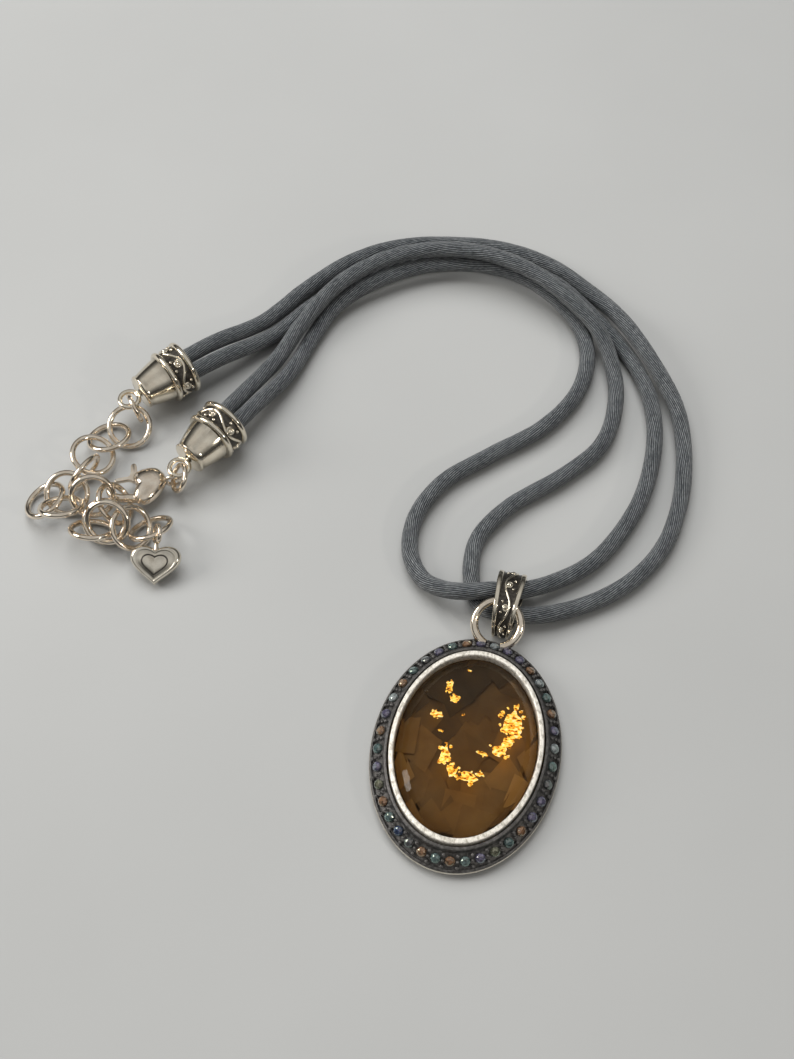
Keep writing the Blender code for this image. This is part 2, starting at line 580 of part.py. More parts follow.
def lifting_axis(pivot, carried):
    """The level axis through the pivot that lifts the middle of what the joint carries."""
    away = sum(carried, Vector()) / len(carried) - pivot
    away.z = 0
    return away.normalized().cross(Vector((0, 0, 1)))


def carried_middles(name):
    """The middles of the named piece and of every piece that hangs on it."""
    middles = [CLASP_MIDDLE] if name == "clasp" else []
    for row_name, parent, centre, *_ in CHAIN:
        if row_name == name:
            middles.append(Vector(centre))
        if parent == name:
            middles += carried_middles(row_name)
    if name == "clasp_ring":
        middles += carried_middles("clasp")
    return middles


def hang(pieces, joint):
    """Gives the pieces their origin on the joint, and makes the joint carry them."""
    empty, pivot = joint
    for piece in pieces:
        piece.data.transform(Matrix.Translation(-pivot))
        piece.parent = empty


def main():
    for leftover in list(bpy.data.objects):
        bpy.data.objects.remove(leftover)
    looks = {
        "silver": material("silver", (0.62, 0.60, 0.55), 0.25, 1.0),
        "oxidised": material("oxidised", (0.08, 0.08, 0.085), 0.45, 1.0),
        "amber": material("amber", (0.20, 0.10, 0.03), 0.08, 0.0),
        "pave": material("pave", (0.25, 0.22, 0.42), 0.08, 0.0),
        "satin": material("satin", (0.085, 0.088, 0.095), 0.55, 0.0),
        "glue": material("glue", (0.45, 0.42, 0.34), 0.5, 0.0),
        "steel": material("steel", (0.5, 0.5, 0.5), 0.35, 1.0),
    }
    make_cord("cord_1", ROUTE_1, looks["satin"])
    make_cord("cord_2", ROUTE_2, looks["satin"])
    for letter in CAPS:
        make_cap(letter, looks)

    bail_joint = joint_empty("bail", None, BAIL_START + 5 * MM * BAIL_HEADING, BAIL_SLIDE_AXIS, BAIL_SLIDE)
    hang([make_bail(looks["silver"])], bail_joint)
    rise = math.cos(RING_TILT) * RING_HEADING + math.sin(RING_TILT) * Vector((0, 0, 1))
    hang(make_pendant(looks), joint_empty("pendant", bail_joint, RING_CENTRE + RING_RADIUS * rise,
                                          RING_HEADING.cross(Vector((0, 0, -1))), (0, PENDANT_SWING)))

    wires = {f"eye_{letter}": (start - EYE_OFFSET * heading, (0, 0, 1), EYE_RADIUS)
             for letter, (start, heading, _) in CAPS.items()}
    wires["clasp"] = HOOK_BEND
    joints = {}
    for name, parent, centre, axis, radius, wire, swing in CHAIN:
        wires[name] = (centre, axis, radius)
        if parent == "clasp":
            tail = (CLASP_LOOP_CENTRE, CLASP_LOOP_AXIS, CLASP_LOOP_RADIUS)
            pivot = nearest_wire(wires["clasp_ring"], tail)
            joints["clasp"] = joint_empty("clasp", joints["clasp_ring"], pivot,
                                          lifting_axis(pivot, carried_middles("clasp")), (0, CLASP_SWING))
            fixed, swinging = make_clasp(looks)
            hang(fixed, joints["clasp"])
            hang(swinging, joint_empty("clasp_lever", joints["clasp"], CLASP_PIVOT, (0, 0, 1), (0, LEVER_TURN)))
        pivot = nearest_wire(wires[parent], wires[name])
        joints[name] = joint_empty(name, joints.get(parent), pivot,
                                   lifting_axis(pivot, carried_middles(name)), (0, swing))
        hang([torus(name, centre, axis, radius, wire, looks["silver"])], joints[name])
    charm, eye_axis, heart_middle = make_charm(looks["silver"])
    pivot = nearest_wire(wires["link_14"], (CHARM_EYE, eye_axis, CHARM_EYE_RADIUS))
    hang(charm, joint_empty("heart_charm", joints["link_14"], pivot, lifting_axis(pivot, [heart_middle]),
                            (0, CHARM_SWING)))


main()
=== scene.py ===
import math
import random

import bmesh
import bpy
import numpy as np
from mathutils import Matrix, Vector


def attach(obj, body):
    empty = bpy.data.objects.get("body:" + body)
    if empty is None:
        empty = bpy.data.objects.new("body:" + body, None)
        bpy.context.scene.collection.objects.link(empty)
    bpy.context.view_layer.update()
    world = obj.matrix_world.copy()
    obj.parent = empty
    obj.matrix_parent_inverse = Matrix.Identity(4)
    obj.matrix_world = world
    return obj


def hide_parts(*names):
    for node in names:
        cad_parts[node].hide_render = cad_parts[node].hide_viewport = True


# The looks of the pendant necklace, in metres in the row frame: +Z up from the surface it lies on.
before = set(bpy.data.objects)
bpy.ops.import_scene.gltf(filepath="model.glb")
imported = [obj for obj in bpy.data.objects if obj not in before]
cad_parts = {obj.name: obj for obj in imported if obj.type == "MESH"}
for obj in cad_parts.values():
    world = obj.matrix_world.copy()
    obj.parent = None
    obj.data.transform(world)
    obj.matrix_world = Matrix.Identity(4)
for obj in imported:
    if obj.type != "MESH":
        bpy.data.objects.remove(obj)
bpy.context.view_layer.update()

MM = 0.001
UP = Vector((0, 0, 1))

# The pendant: its long axis leans from +Y towards +X, and a band is narrower at the sides.
LEAN = math.radians(11.9)
LONG_AXIS = Vector((math.sin(LEAN), math.cos(LEAN), 0))
SHORT_AXIS = Vector((math.cos(LEAN), -math.sin(LEAN), 0))
BEZEL_LONG = 17.0
BEZEL_SHORT = 12.5
BAND_RATIO = 0.82
STONE_LONG = 15.8
STONE_SHORT = 11.5
STONE_TOP = 6.32
STONE_FALL = 1.85  # how far the dome drops from its middle to its edge
FACET_PITCH = 0.235  # as a share of the stone's half size
RING_HEADING = Vector((0.252, 0.968, 0)).normalized()
RING_TILT = math.radians(26.3)
RING_CENTRE = Vector((0.00575, 0.0221, 0.00405))

BAIL_START = Vector((0.0062, 0.0207, 0.0))
BAIL_HEADING = Vector((0.232, 0.973, 0.0)).normalized()
BAIL_WIDTHS = (3.4, 4.8)
BAIL_INSIDE = (
    (0.80, 1.30), (0.95, 3.00), (1.90, 5.10), (3.40, 6.50), (4.90, 6.82), (6.70, 6.74),
    (8.80, 6.15), (10.35, 4.85), (11.15, 3.10), (11.25, 1.60), (10.60, 0.80), (7.50, 0.78),
    (4.00, 0.78), (1.50, 0.80),
)
BAIL_FLOOR = 0.42

CAP_HEIGHT = 5.05 * MM
CAPS = {
    "a": (Vector((-0.05837, 0.06894, CAP_HEIGHT)), Vector((0.7957, 0.6057, 0.0)), 10.2),
    "b": (Vector((-0.04862, 0.05458, CAP_HEIGHT)), Vector((0.6250, 0.7806, 0.0)), 10.5),
}
CAP_SCROLL_RADIUS = 4.45
LINK = (3.675, 0.525)  # mean radius and wire radius
RINGS = {  # name: centre, axis, mean radius, wire radius
    "connector_ring": ((-0.05919, 0.06585, 0.00455), (0.886, 0.444, 0.129), 2.5, 0.45),
    "link_01": ((-0.06031, 0.06341, 0.00227), (0.001, -0.435, 0.900), *LINK),
    "link_02": ((-0.06392, 0.06128, 0.00190), (-0.168, 0.327, 0.930), *LINK),
    "link_03": ((-0.06635, 0.05694, 0.00261), (0.330, -0.078, 0.941), *LINK),
    "link_04": ((-0.06721, 0.05215, 0.00413), (-0.801, 0.553, 0.229), *LINK),
    "link_05": ((-0.07022, 0.04890, 0.00253), (-0.061, -0.538, 0.841), *LINK),
    "link_06": ((-0.07405, 0.04761, 0.00229), (-0.433, 0.188, 0.882), *LINK),
    "link_07": ((-0.07048, 0.04497, 0.00447), (-0.057, 0.558, 0.828), *LINK),
    "link_08": ((-0.06513, 0.04696, 0.00477), (0.105, -0.807, 0.581), *LINK),
    "link_09": ((-0.06130, 0.04622, 0.00333), (0.754, 0.012, 0.657), *LINK),
    "link_10": ((-0.06283, 0.04293, 0.00280), (0.086, 0.554, -0.828), *LINK),
    "link_11": ((-0.06503, 0.04124, 0.00276), (-0.082, -0.600, -0.796), *LINK),
    "link_12": ((-0.06200, 0.04161, 0.00478), (-0.141, -0.741, 0.657), *LINK),
    "link_13": ((-0.05805, 0.04138, 0.00327), (-0.597, 0.322, -0.734), *LINK),
    "link_14": ((-0.05467, 0.04150, 0.00278), (-0.293, 0.535, 0.792), *LINK),
    "clasp_ring": ((-0.05012, 0.05101, 0.00433), (-0.825, -0.142, 0.547), 2.35, 0.45),
}

CLASP_HEIGHT = 2.6
CLASP_PIVOT = Vector((-0.0578, 0.0518, 0.0026))
CLASP_BODY_OUTLINE = (
    (-52.75, 50.4), (-52.70, 51.7), (-53.2, 53.0), (-54.6, 54.0), (-56.4, 53.9), (-57.9, 53.2),
    (-58.6, 52.2), (-58.5, 51.0), (-58.0, 50.0), (-58.3, 48.9), (-58.2, 47.4), (-57.0, 46.6),
    (-55.6, 46.7), (-53.9, 48.3),
)
HOOK_PATH = (  # x, y, wire radius
    (-56.6, 48.2, 0.85), (-57.4, 47.75, 0.82), (-59.0, 47.85, 0.80), (-60.3, 47.75, 0.80),
    (-61.3, 47.95, 0.78), (-62.2, 48.55, 0.74), (-62.65, 49.4, 0.68), (-62.7, 50.4, 0.58),
)
LEVER_OUTLINE = (
    (-61.75, 51.05), (-61.75, 51.6), (-60.4, 51.95), (-59.35, 52.25), (-59.15, 53.4),
    (-59.2, 54.5), (-58.7, 54.95), (-58.2, 54.5), (-58.0, 53.3), (-57.4, 52.8), (-56.85, 52.3),
    (-56.8, 51.6), (-57.2, 51.0), (-58.2, 50.95), (-59.4, 51.4), (-60.6, 51.2),
)
SPRING_PATH = ((-56.2, 51.3), (-55.3, 51.2), (-54.75, 51.75), (-55.2, 52.4), (-56.2, 52.3))
CLASP_LOOP = (Vector((-0.05151, 0.05152, 0.00248)), Vector((0.02, 1.0, 0.0)), 1.25, 0.40)

CHARM_EYE = Vector((-0.05309, 0.03916, 0.00494))
CHARM_HEADING = math.radians(-93.3)
CHARM_TILT = math.radians(28.0)
CHARM_EYE_ROLL = math.radians(-60.5)
CHARM_REACH = 5.3 * MM
CHARM_WIDTH = 9.0
CHARM_LENGTH = 7.0

CORD_RADIUS = 1.5 * MM
CORD_TWIST = 95.0  # radians the threads turn in a metre of cord
CORD_THREADS = 26.0  # round the cord
ROUTE_1 = (
    (-0.05360, 0.07046, 0.00505), (-0.04435, 0.07738, 0.00420), (-0.03497, 0.08414, 0.00200),
    (-0.02696, 0.09216, 0.00156), (-0.01776, 0.09888, 0.00153), (-0.00848, 0.10277, 0.00153),
    (0.00150, 0.10356, 0.00153), (0.01085, 0.10181, 0.00156), (0.01914, 0.09705, 0.00190),
    (0.02525, 0.09029, 0.00176), (0.03117, 0.08209, 0.00154), (0.03518, 0.07258, 0.00153),
    (0.03604, 0.06320, 0.00153), (0.03396, 0.05240, 0.00153), (0.02967, 0.04335, 0.00154),
    (0.02316, 0.03553, 0.00157), (0.01573, 0.03108, 0.00211), (0.00901, 0.02872, 0.00330),
    (0.00499, 0.02833, 0.00452), (0.00146, 0.02791, 0.00492), (-0.00260, 0.02882, 0.00360),
    (-0.00666, 0.03164, 0.00210), (-0.00898, 0.03733, 0.00157), (-0.00789, 0.04469, 0.00156),
    (-0.00297, 0.05175, 0.00158), (0.00546, 0.05743, 0.00153), (0.01564, 0.06374, 0.00153),
    (0.02193, 0.07078, 0.00154), (0.02458, 0.07849, 0.00170), (0.02357, 0.08620, 0.00178),
    (0.01870, 0.09298, 0.00292), (0.01199, 0.09812, 0.00324), (0.00336, 0.10052, 0.00326),
    (-0.00605, 0.10021, 0.00306), (-0.01492, 0.09691, 0.00299), (-0.02294, 0.09111, 0.00226),
    (-0.02699, 0.08480, 0.00153), (-0.03133, 0.07556, 0.00206), (-0.03769, 0.06624, 0.00423),
    (-0.04420, 0.05742, 0.00505),
)
ROUTE_2 = (
    (-0.05563, 0.07314, 0.00505), (-0.04607, 0.08068, 0.00426), (-0.03675, 0.08738, 0.00219),
    (-0.02885, 0.09567, 0.00165), (-0.02020, 0.10260, 0.00159), (-0.01116, 0.10620, 0.00161),
    (-0.00001, 0.10698, 0.00153), (0.01048, 0.10549, 0.00153), (0.01928, 0.10113, 0.00156),
    (0.02615, 0.09466, 0.00173), (0.03116, 0.08675, 0.00395), (0.03622, 0.07714, 0.00383),
    (0.04033, 0.06732, 0.00224), (0.04092, 0.05786, 0.00160), (0.03895, 0.04629, 0.00154),
    (0.03490, 0.03739, 0.00153), (0.02814, 0.03064, 0.00154), (0.01961, 0.02638, 0.00164),
    (0.01214, 0.02446, 0.00257), (0.00722, 0.02469, 0.00292), (0.00394, 0.02604, 0.00212),
    (0.00221, 0.02887, 0.00154), (0.00160, 0.03325, 0.00155), (0.00287, 0.03981, 0.00156),
    (0.00808, 0.04610, 0.00156), (0.01936, 0.05366, 0.00153), (0.02597, 0.05974, 0.00153),
    (0.02909, 0.06803, 0.00156), (0.02919, 0.07676, 0.00193), (0.02663, 0.08408, 0.00411),
    (0.02061, 0.09097, 0.00602), (0.01240, 0.09754, 0.00657), (0.00346, 0.10104, 0.00658),
    (-0.00609, 0.10165, 0.00612), (-0.01523, 0.09901, 0.00571), (-0.02295, 0.09339, 0.00542),
    (-0.02921, 0.08544, 0.00410), (-0.03382, 0.07818, 0.00263), (-0.03980, 0.06911, 0.00426),
    (-0.04682, 0.05952, 0.00505),
)

# The halo's small stones, clockwise from the bail.
PAVE_ORDER = (
    "clear", "violet", "violet", "orange", "clear", "teal", "orange", "violet", "clear", "teal",
    "smoke", "violet", "violet", "orange", "teal", "olive", "violet", "teal", "orange", "teal",
    "orange", "smoke", "blue", "teal", "orange", "olive", "violet", "teal", "orange", "violet",
    "clear", "orange", "teal", "smoke", "violet", "teal", "orange", "violet",
)
# Painted lamp glints in the amber stone: middle along the short and the long axis, width, length.
PAINTED_GLINTS = (
    (-4.5, 9.1, 1.3, 2.3), (-3.4, 7.0, 1.6, 1.6), (-5.6, 3.8, 2.2, 1.3), (-4.6, 1.1, 0.8, 0.6),
    (-1.5, 4.4, 0.6, 0.5), (-3.1, -2.7, 1.9, 3.2), (-1.4, -5.3, 2.2, 1.9), (1.2, -6.0, 3.2, 1.9),
    (3.0, -5.0, 1.4, 0.9), (6.5, 5.2, 3.6, 4.6), (7.2, 3.0, 2.2, 2.2), (6.5, 1.2, 1.9, 2.0),
    (5.4, -0.4, 3.2, 2.2), (3.0, -1.6, 1.8, 0.8), (-1.8, 12.9, 0.6, 0.5), (6.9, 8.2, 0.9, 1.1),
)


# ---------------------------------------------------------------- mesh work

def circle(count, shift=0.0):
    """Even turns round a circle."""
    return [2 * math.pi * (step + shift) / count for step in range(count)]


def placed(name, data):
    """A new object in the scene."""
    made = bpy.data.objects.new(name, data)
    bpy.context.scene.collection.objects.link(made)
    return made


def grid(name, rows, looks, around=True, ends="caps", index=None, sharp=40, uv=None):
    """One object over rows of points. ends is caps, wrapped or open; index(row, column) picks the look."""
    rows = np.asarray(rows, float)
    count, wide = rows.shape[:2]
    low = np.arange(count if ends == "wrapped" else count - 1)
    left = np.arange(wide if around else wide - 1)
    row, column = (a.ravel() for a in np.meshgrid(low, left, indexing="ij"))
    after_row, after_column = (row + 1) % count, (column + 1) % wide
    faces = np.stack([row * wide + column, row * wide + after_column,
                      after_row * wide + after_column, after_row * wide + column], axis=1).tolist()
    if ends == "caps":
        faces += [list(range(wide))[::-1], list(range((count - 1) * wide, count * wide))]
    mesh = bpy.data.meshes.new(name)
    mesh.from_pydata(rows.reshape(-1, 3).tolist(), [], faces)
    looks = looks if isinstance(looks, (list, tuple)) else [looks]
    for look in looks:
        mesh.materials.append(look)
    if index:
        for polygon, (r, c) in zip(mesh.polygons, zip(row, column)):
            polygon.material_index = index(int(r), int(c))
    if uv is not None:
        lay_uv(mesh, row, column, wide, uv)
    bm = bmesh.new()
    bm.from_mesh(mesh)
    bmesh.ops.recalc_face_normals(bm, faces=bm.faces)
    bm.to_mesh(mesh)
    bm.free()
    mesh.shade_smooth()
    mesh.set_sharp_from_angle(angle=math.radians(sharp))
    return placed(name, mesh)


def lay_uv(mesh, row, column, wide, lengths):
    """U runs once round each row, and V is the distance along the rows in metres."""
    layer = mesh.uv_layers.new(name="lay")
    spots = []
    for r, c in zip(row, column):
        below, above = lengths[r], lengths[r + 1]
        u, v = c / wide, (c + 1) / wide
        spots += [u, below, v, below, v, above, u, above]
    spots += [0.0] * (2 * len(mesh.loops) - len(spots))
    layer.data.foreach_set("uv", spots)


def rounded(corners, radius, steps=4):
    """A closed outline with its corners rounded off."""
    made = []
    corners = [np.array(corner, float) for corner in corners]
    for number, here in enumerate(corners):
        sides = []
        for other in (corners[number - 1], corners[(number + 1) % len(corners)]):
            length = np.linalg.norm(other - here)
            sides.append(here + (other - here) / length * min(radius, 0.45 * length))
        for t in np.linspace(0, 1, steps + 1):
            spot = (1 - t) ** 2 * sides[0] + 2 * t * (1 - t) * here + t * t * sides[1]
            made.append(tuple(float(part) for part in spot))
    return made


def closed_smooth(points, count):
    """Even steps along a smooth closed curve through the given corners."""
    corners = np.asarray(points, float)
    around = np.vstack([corners[-1:], corners, corners[:2]])
    curve = []
    for start in range(len(corners)):
        p0, p1, p2, p3 = around[start:start + 4]
        for t in np.arange(24) / 24:
            curve.append(0.5 * (2 * p1 + (p2 - p0) * t + (2 * p0 - 5 * p1 + 4 * p2 - p3) * t**2
                                + (3 * p1 - p0 - 3 * p2 + p3) * t**3))
    curve = np.array(curve + curve[:1])
    length = np.concatenate([[0], np.cumsum(np.linalg.norm(np.diff(curve, axis=0), axis=1))])
    wanted = np.linspace(0, length[-1], count, endpoint=False)
    return np.stack([np.interp(wanted, length, curve[:, axis]) for axis in range(curve.shape[1])], axis=1)


def smooth_route(points, steps):
    """Points of a centripetal Catmull-Rom curve through the given points."""
    inner = np.asarray(points, float)
    padded = np.vstack([2 * inner[0] - inner[1], inner, 2 * inner[-1] - inner[-2]])
    curve = []
    for start in range(len(inner) - 1):
        p0, p1, p2, p3 = padded[start:start + 4]
        t1 = np.linalg.norm(p1 - p0) ** 0.5
        t2 = t1 + np.linalg.norm(p2 - p1) ** 0.5
        t3 = t2 + np.linalg.norm(p3 - p2) ** 0.5
        for t in np.linspace(t1, t2, steps, endpoint=False):
            a1 = (t1 - t) / t1 * p0 + t / t1 * p1
            a2 = (t2 - t) / (t2 - t1) * p1 + (t - t1) / (t2 - t1) * p2
            a3 = (t3 - t) / (t3 - t2) * p2 + (t - t2) / (t3 - t2) * p3
            b1 = (t2 - t) / t2 * a1 + t / t2 * a2
            b2 = (t3 - t) / (t3 - t1) * a2 + (t - t1) / (t3 - t1) * a3
            curve.append((t2 - t) / (t2 - t1) * b1 + (t - t1) / (t2 - t1) * b2)
    curve.append(inner[-1])
    return np.array(curve)


def even_steps(curve, step):
    """The curve again, at even steps, and the distance along it."""
    length = np.concatenate([[0], np.cumsum(np.linalg.norm(np.diff(curve, axis=0), axis=1))])
    wanted = np.linspace(0, length[-1], int(length[-1] / step) + 1)
    return np.stack([np.interp(wanted, length, curve[:, k]) for k in range(3)], axis=1), wanted


def sweep(path, radii, sides, bumps=None):
    """Rows of points round a path. bumps(row, turns) may scale the radius round each row."""
    path = np.asarray(path, float)
    ahead = np.gradient(path, axis=0)
    ahead /= np.linalg.norm(ahead, axis=1)[:, None]
    side = np.cross(ahead[0], (0, 0, 1) if abs(ahead[0][2]) < 0.8 else (1, 0, 0))
    turns = 2 * np.pi * np.arange(sides) / sides
    rows = []
    for number, point in enumerate(path):
        side = side - (side @ ahead[number]) * ahead[number]
        side /= np.linalg.norm(side)
        other = np.cross(ahead[number], side)
        reach = radii[number] * (bumps(number, turns) if bumps else np.ones(sides))
        rows.append(point + reach[:, None] * (np.cos(turns)[:, None] * side + np.sin(turns)[:, None] * other))
    return rows


def across(axis):
    """Two directions at right angles to axis and to each other."""
    helper = Vector((1, 0, 0)) if abs(axis.x) < 0.8 else Vector((0, 1, 0))
    first = axis.cross(helper).normalized()
    return first, axis.cross(first)


def ring(name, centre, axis, radius, wire, look, seed=0, around=96, sides=20, span=None):
    """A wire ring with the slight unevenness and the solder joint of a handmade one. span keeps an arc."""
    centre, axis = Vector(centre), Vector(axis).normalized()
    first, second = across(axis)
    source = random.Random(seed)
    phase = [source.uniform(0, 2 * math.pi) for _ in range(3)]
    joint = source.uniform(0, 2 * math.pi)
    low, high = span or (0, 2 * math.pi)
    rows = []
    for step in range(around + (1 if span else 0)):
        turn = low + (high - low) * step / around
        outward = math.cos(turn) * first + math.sin(turn) * second
        off = math.atan2(math.sin(turn - joint), math.cos(turn - joint))
        swell = 1 + 0.012 * math.sin(3 * turn + phase[0]) + 0.01 * math.sin(7 * turn + phase[1])
        swell += 0.045 * math.exp(-(off / 0.09) ** 2) - 0.03 * math.exp(-(off / 0.025) ** 2)
        point = centre + radius * MM * outward
        rows.append([point + wire * MM * swell * (math.cos(t) * outward + math.sin(t) * axis)
                     for t in circle(sides, 0.5)])
    return grid(name, rows, look, ends="caps" if span else "wrapped", sharp=80)


def lathe(name, start, heading, profile, looks, sides=120, index=None, sharp=50):
    """A turned piece from a closed profile of (distance along the heading, radius), in millimetres."""
    first, second = across(heading)
    rows = [[start + along * MM * heading + radius * MM * (math.cos(t) * first + math.sin(t) * second)
             for t in circle(sides)] for along, radius in profile]
    return grid(name, rows, looks, ends="wrapped", index=index, sharp=sharp)


def oval(rho, turn, height):
    """A point of the pendant's oval that reaches rho (millimetres) along the long axis."""
    short = BEZEL_SHORT + (rho - BEZEL_LONG) * BAND_RATIO
    return (short * math.cos(turn) * SHORT_AXIS + rho * math.sin(turn) * LONG_AXIS + height * UP) * MM


def oval_band(name, profile, looks, index=None, count=192, sharp=50):
    """A band round the pendant's oval from a closed profile of (reach, height), in millimetres."""
    rows = [[oval(rho, turn, height) for turn in circle(count)] for rho, height in profile]
    return grid(name, rows, looks, ends="wrapped", index=index, sharp=sharp)


def ball(bm, centre, radius, level=2):
    made = bmesh.ops.create_icosphere(bm, subdivisions=level, radius=radius)
    bmesh.ops.translate(bm, verts=made["verts"], vec=centre)


def from_bmesh(name, bm, look, smooth=True):
    mesh = bpy.data.meshes.new(name)
    bm.to_mesh(mesh)
    bm.free()
    mesh.materials.append(look)
    if smooth:
        mesh.shade_smooth()
    return placed(name, mesh)


def settled(obj):
    """Applies the object's modifiers."""
    graph = bpy.context.evaluated_depsgraph_get()
    mesh = bpy.data.meshes.new_from_object(obj.evaluated_get(graph))
    obj.modifiers.clear()
    obj.data = mesh
    return obj


def join(name, pieces):
    """The pieces' meshes in one object, with the first one's material."""
    bm = bmesh.new()
    for piece in pieces:
        bm.from_mesh(piece.data)
    look = pieces[0].data.materials[0]
    for piece in pieces:
        bpy.data.objects.remove(piece)
    for face in bm.faces:
        face.material_index = 0
    return from_bmesh(name, bm, look)


def fused(name, pieces, voxel, softness):
    """The pieces cast into one skin, with soft joins."""
    made = join(name, pieces)
    remesh = made.modifiers.new("Cast", "REMESH")
    remesh.mode = "VOXEL"
    remesh.voxel_size = voxel * MM
    smooth = made.modifiers.new("Polish", "SMOOTH")
    smooth.factor = 0.5
    smooth.iterations = softness
    settled(made)
    made.data.shade_smooth()
    return made


def cut(target, tools):
    for tool in tools:
        modifier = target.modifiers.new("Cut", "BOOLEAN")
        modifier.operation = "DIFFERENCE"
        modifier.solver = "EXACT"
        modifier.object = tool
    settled(target)
    for tool in tools:
        bpy.data.objects.remove(tool)
    target.data.set_sharp_from_angle(angle=math.radians(40))
    return target


def worn(obj, body, slot, *nodes):
    """The piece rides on its body and stands for the CAD nodes. slot is not used."""
    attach(obj, body)
    if nodes:
        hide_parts(*nodes)
    return obj


# ---------------------------------------------------------------- materials

def set_stops(node, stops):
    """The colours of a ramp node, each with its position."""
    elements = node.color_ramp.elements
    while len(elements) < len(stops):
        elements.new(0.5)
    for element, (position, colour) in zip(elements, stops):
        element.position = position
        element.color = (*colour, 1)


class Look:
    """A Principled material, and short ways to add texture nodes to it in millimetres."""

    def __init__(self, name, colour, roughness, metallic=0.0, sockets=()):
        self.material = bpy.data.materials.new(name)
        self.material.use_nodes = True
        self.tree = self.material.node_tree
        self.shader = self.tree.nodes["Principled BSDF"]
        self.shader.inputs["Base Color"].default_value = (*colour, 1)
        self.shader.inputs["Roughness"].default_value = roughness
        self.shader.inputs["Metallic"].default_value = metallic
        for socket, value in sockets:
            self.shader.inputs[socket].default_value = value

    def feed(self, socket, value):
        """Links the socket to another one, or gives it a plain value."""
        if isinstance(value, bpy.types.NodeSocket):
            self.tree.links.new(value, socket)
        else:
            socket.default_value = value

    def node(self, kind, settings=(), inputs=()):
        made = self.tree.nodes.new(kind)
        for name, value in settings:
            setattr(made, name, value)
        for name, value in inputs:
            self.feed(made.inputs[name], value)
        return made

    def place(self, stretch=(1, 1, 1)):
        """Object coordinates in millimetres."""
        spot = self.node("ShaderNodeTexCoord").outputs["Object"]
        scale = tuple(share / MM for share in stretch)
        return self.node("ShaderNodeMapping", (), (("Vector", spot), ("Scale", scale))).outputs[0]

    def noise(self, scale, detail=3.0, where=None):
        where = where or self.place()
        made = self.node("ShaderNodeTexNoise", (), (("Vector", where), ("Scale", scale), ("Detail", detail)))
        return made.outputs["Fac"]

    def ramp(self, value, stops):
        made = self.node("ShaderNodeValToRGB", (), (("Fac", value),))
        set_stops(made, stops)
        return made.outputs["Color"]

    def span(self, value, low, high, to_low, to_high):
        inputs = (("Value", value), ("From Min", low), ("From Max", high),
                  ("To Min", to_low), ("To Max", to_high))
        return self.node("ShaderNodeMapRange", (), inputs).outputs[0]

    def math(self, operation, first, second=0.0):
        made = self.node("ShaderNodeMath", (("operation", operation),))
        for socket, value in zip(made.inputs, (first, second)):
            self.feed(socket, value)
        return made.outputs[0]

    def mix(self, share, first, second):
        made = self.node("ShaderNodeMix", (("data_type", "RGBA"),))
        for number, value in ((0, share), (6, first), (7, second)):
            colour = isinstance(value, tuple)
            self.feed(made.inputs[number], (*value, 1) if colour else value)
        return made.outputs[2]

    def bump(self, height, depth, strength=1.0):
        """depth is in millimetres."""
        inputs = (("Height", height), ("Distance", depth * MM), ("Strength", strength))
        made = self.node("ShaderNodeBump", (), inputs)
        self.tree.links.new(made.outputs["Normal"], self.shader.inputs["Normal"])

    def wire(self, output, socket):
        self.tree.links.new(output, self.shader.inputs[socket])


def silver_look(name, bright, dull, smooth=0.12, rough=0.30, dents=0.012):
    """Worn polished silver: soft tarnish patches, darker hollows, hairline scratches and faint dents."""
    look = Look(name, bright, smooth, 1.0)
    patches = look.span(look.noise(0.55, 4), 0.38, 0.68, 0.0, 1.0)
    colour = look.mix(patches, bright, dull)
    hollow = look.node("ShaderNodeNewGeometry").outputs["Pointiness"]
    shade = look.span(hollow, 0.44, 0.50, 0.45, 0.0)
    look.wire(look.mix(shade, colour, tuple(0.16 * part for part in dull)), "Base Color")
    scratches = look.noise(9.0, 6, look.place((0.35, 1.0, 0.6)))
    look.wire(look.span(scratches, 0.35, 0.75, smooth, rough), "Roughness")
    look.bump(look.math("ADD", look.noise(1.6, 2), look.math("MULTIPLY", scratches, 0.25)), dents)
    return look.material


def brushed_look():
    """The bezel's finely scratched top."""
    look = Look("bezel_silver", (0.90, 0.87, 0.82), 0.4, 0.5)
    grain = look.noise(1.9, 8, look.place((1.0, 0.6, 1.0)))
    look.wire(look.ramp(grain, ((0.36, (0.56, 0.52, 0.45)), (0.54, (0.96, 0.91, 0.82)))), "Base Color")
    look.wire(look.span(grain, 0.3, 0.7, 0.55, 0.30), "Roughness")
    look.bump(grain, 0.20)
    return look.material


def oxidised_look(name, colour, roughness):
    """Blackened silver with a faint grey bloom."""
    look = Look(name, colour, roughness, 0.85)
    bloom = look.noise(2.2, 5)
    paler = tuple(2.6 * part for part in colour)
    look.wire(look.ramp(bloom, ((0.4, colour), (0.75, paler))), "Base Color")
    look.wire(look.span(bloom, 0.3, 0.7, roughness - 0.12, roughness + 0.15), "Roughness")
    look.bump(look.noise(6.0, 4), 0.02)
    return look.material


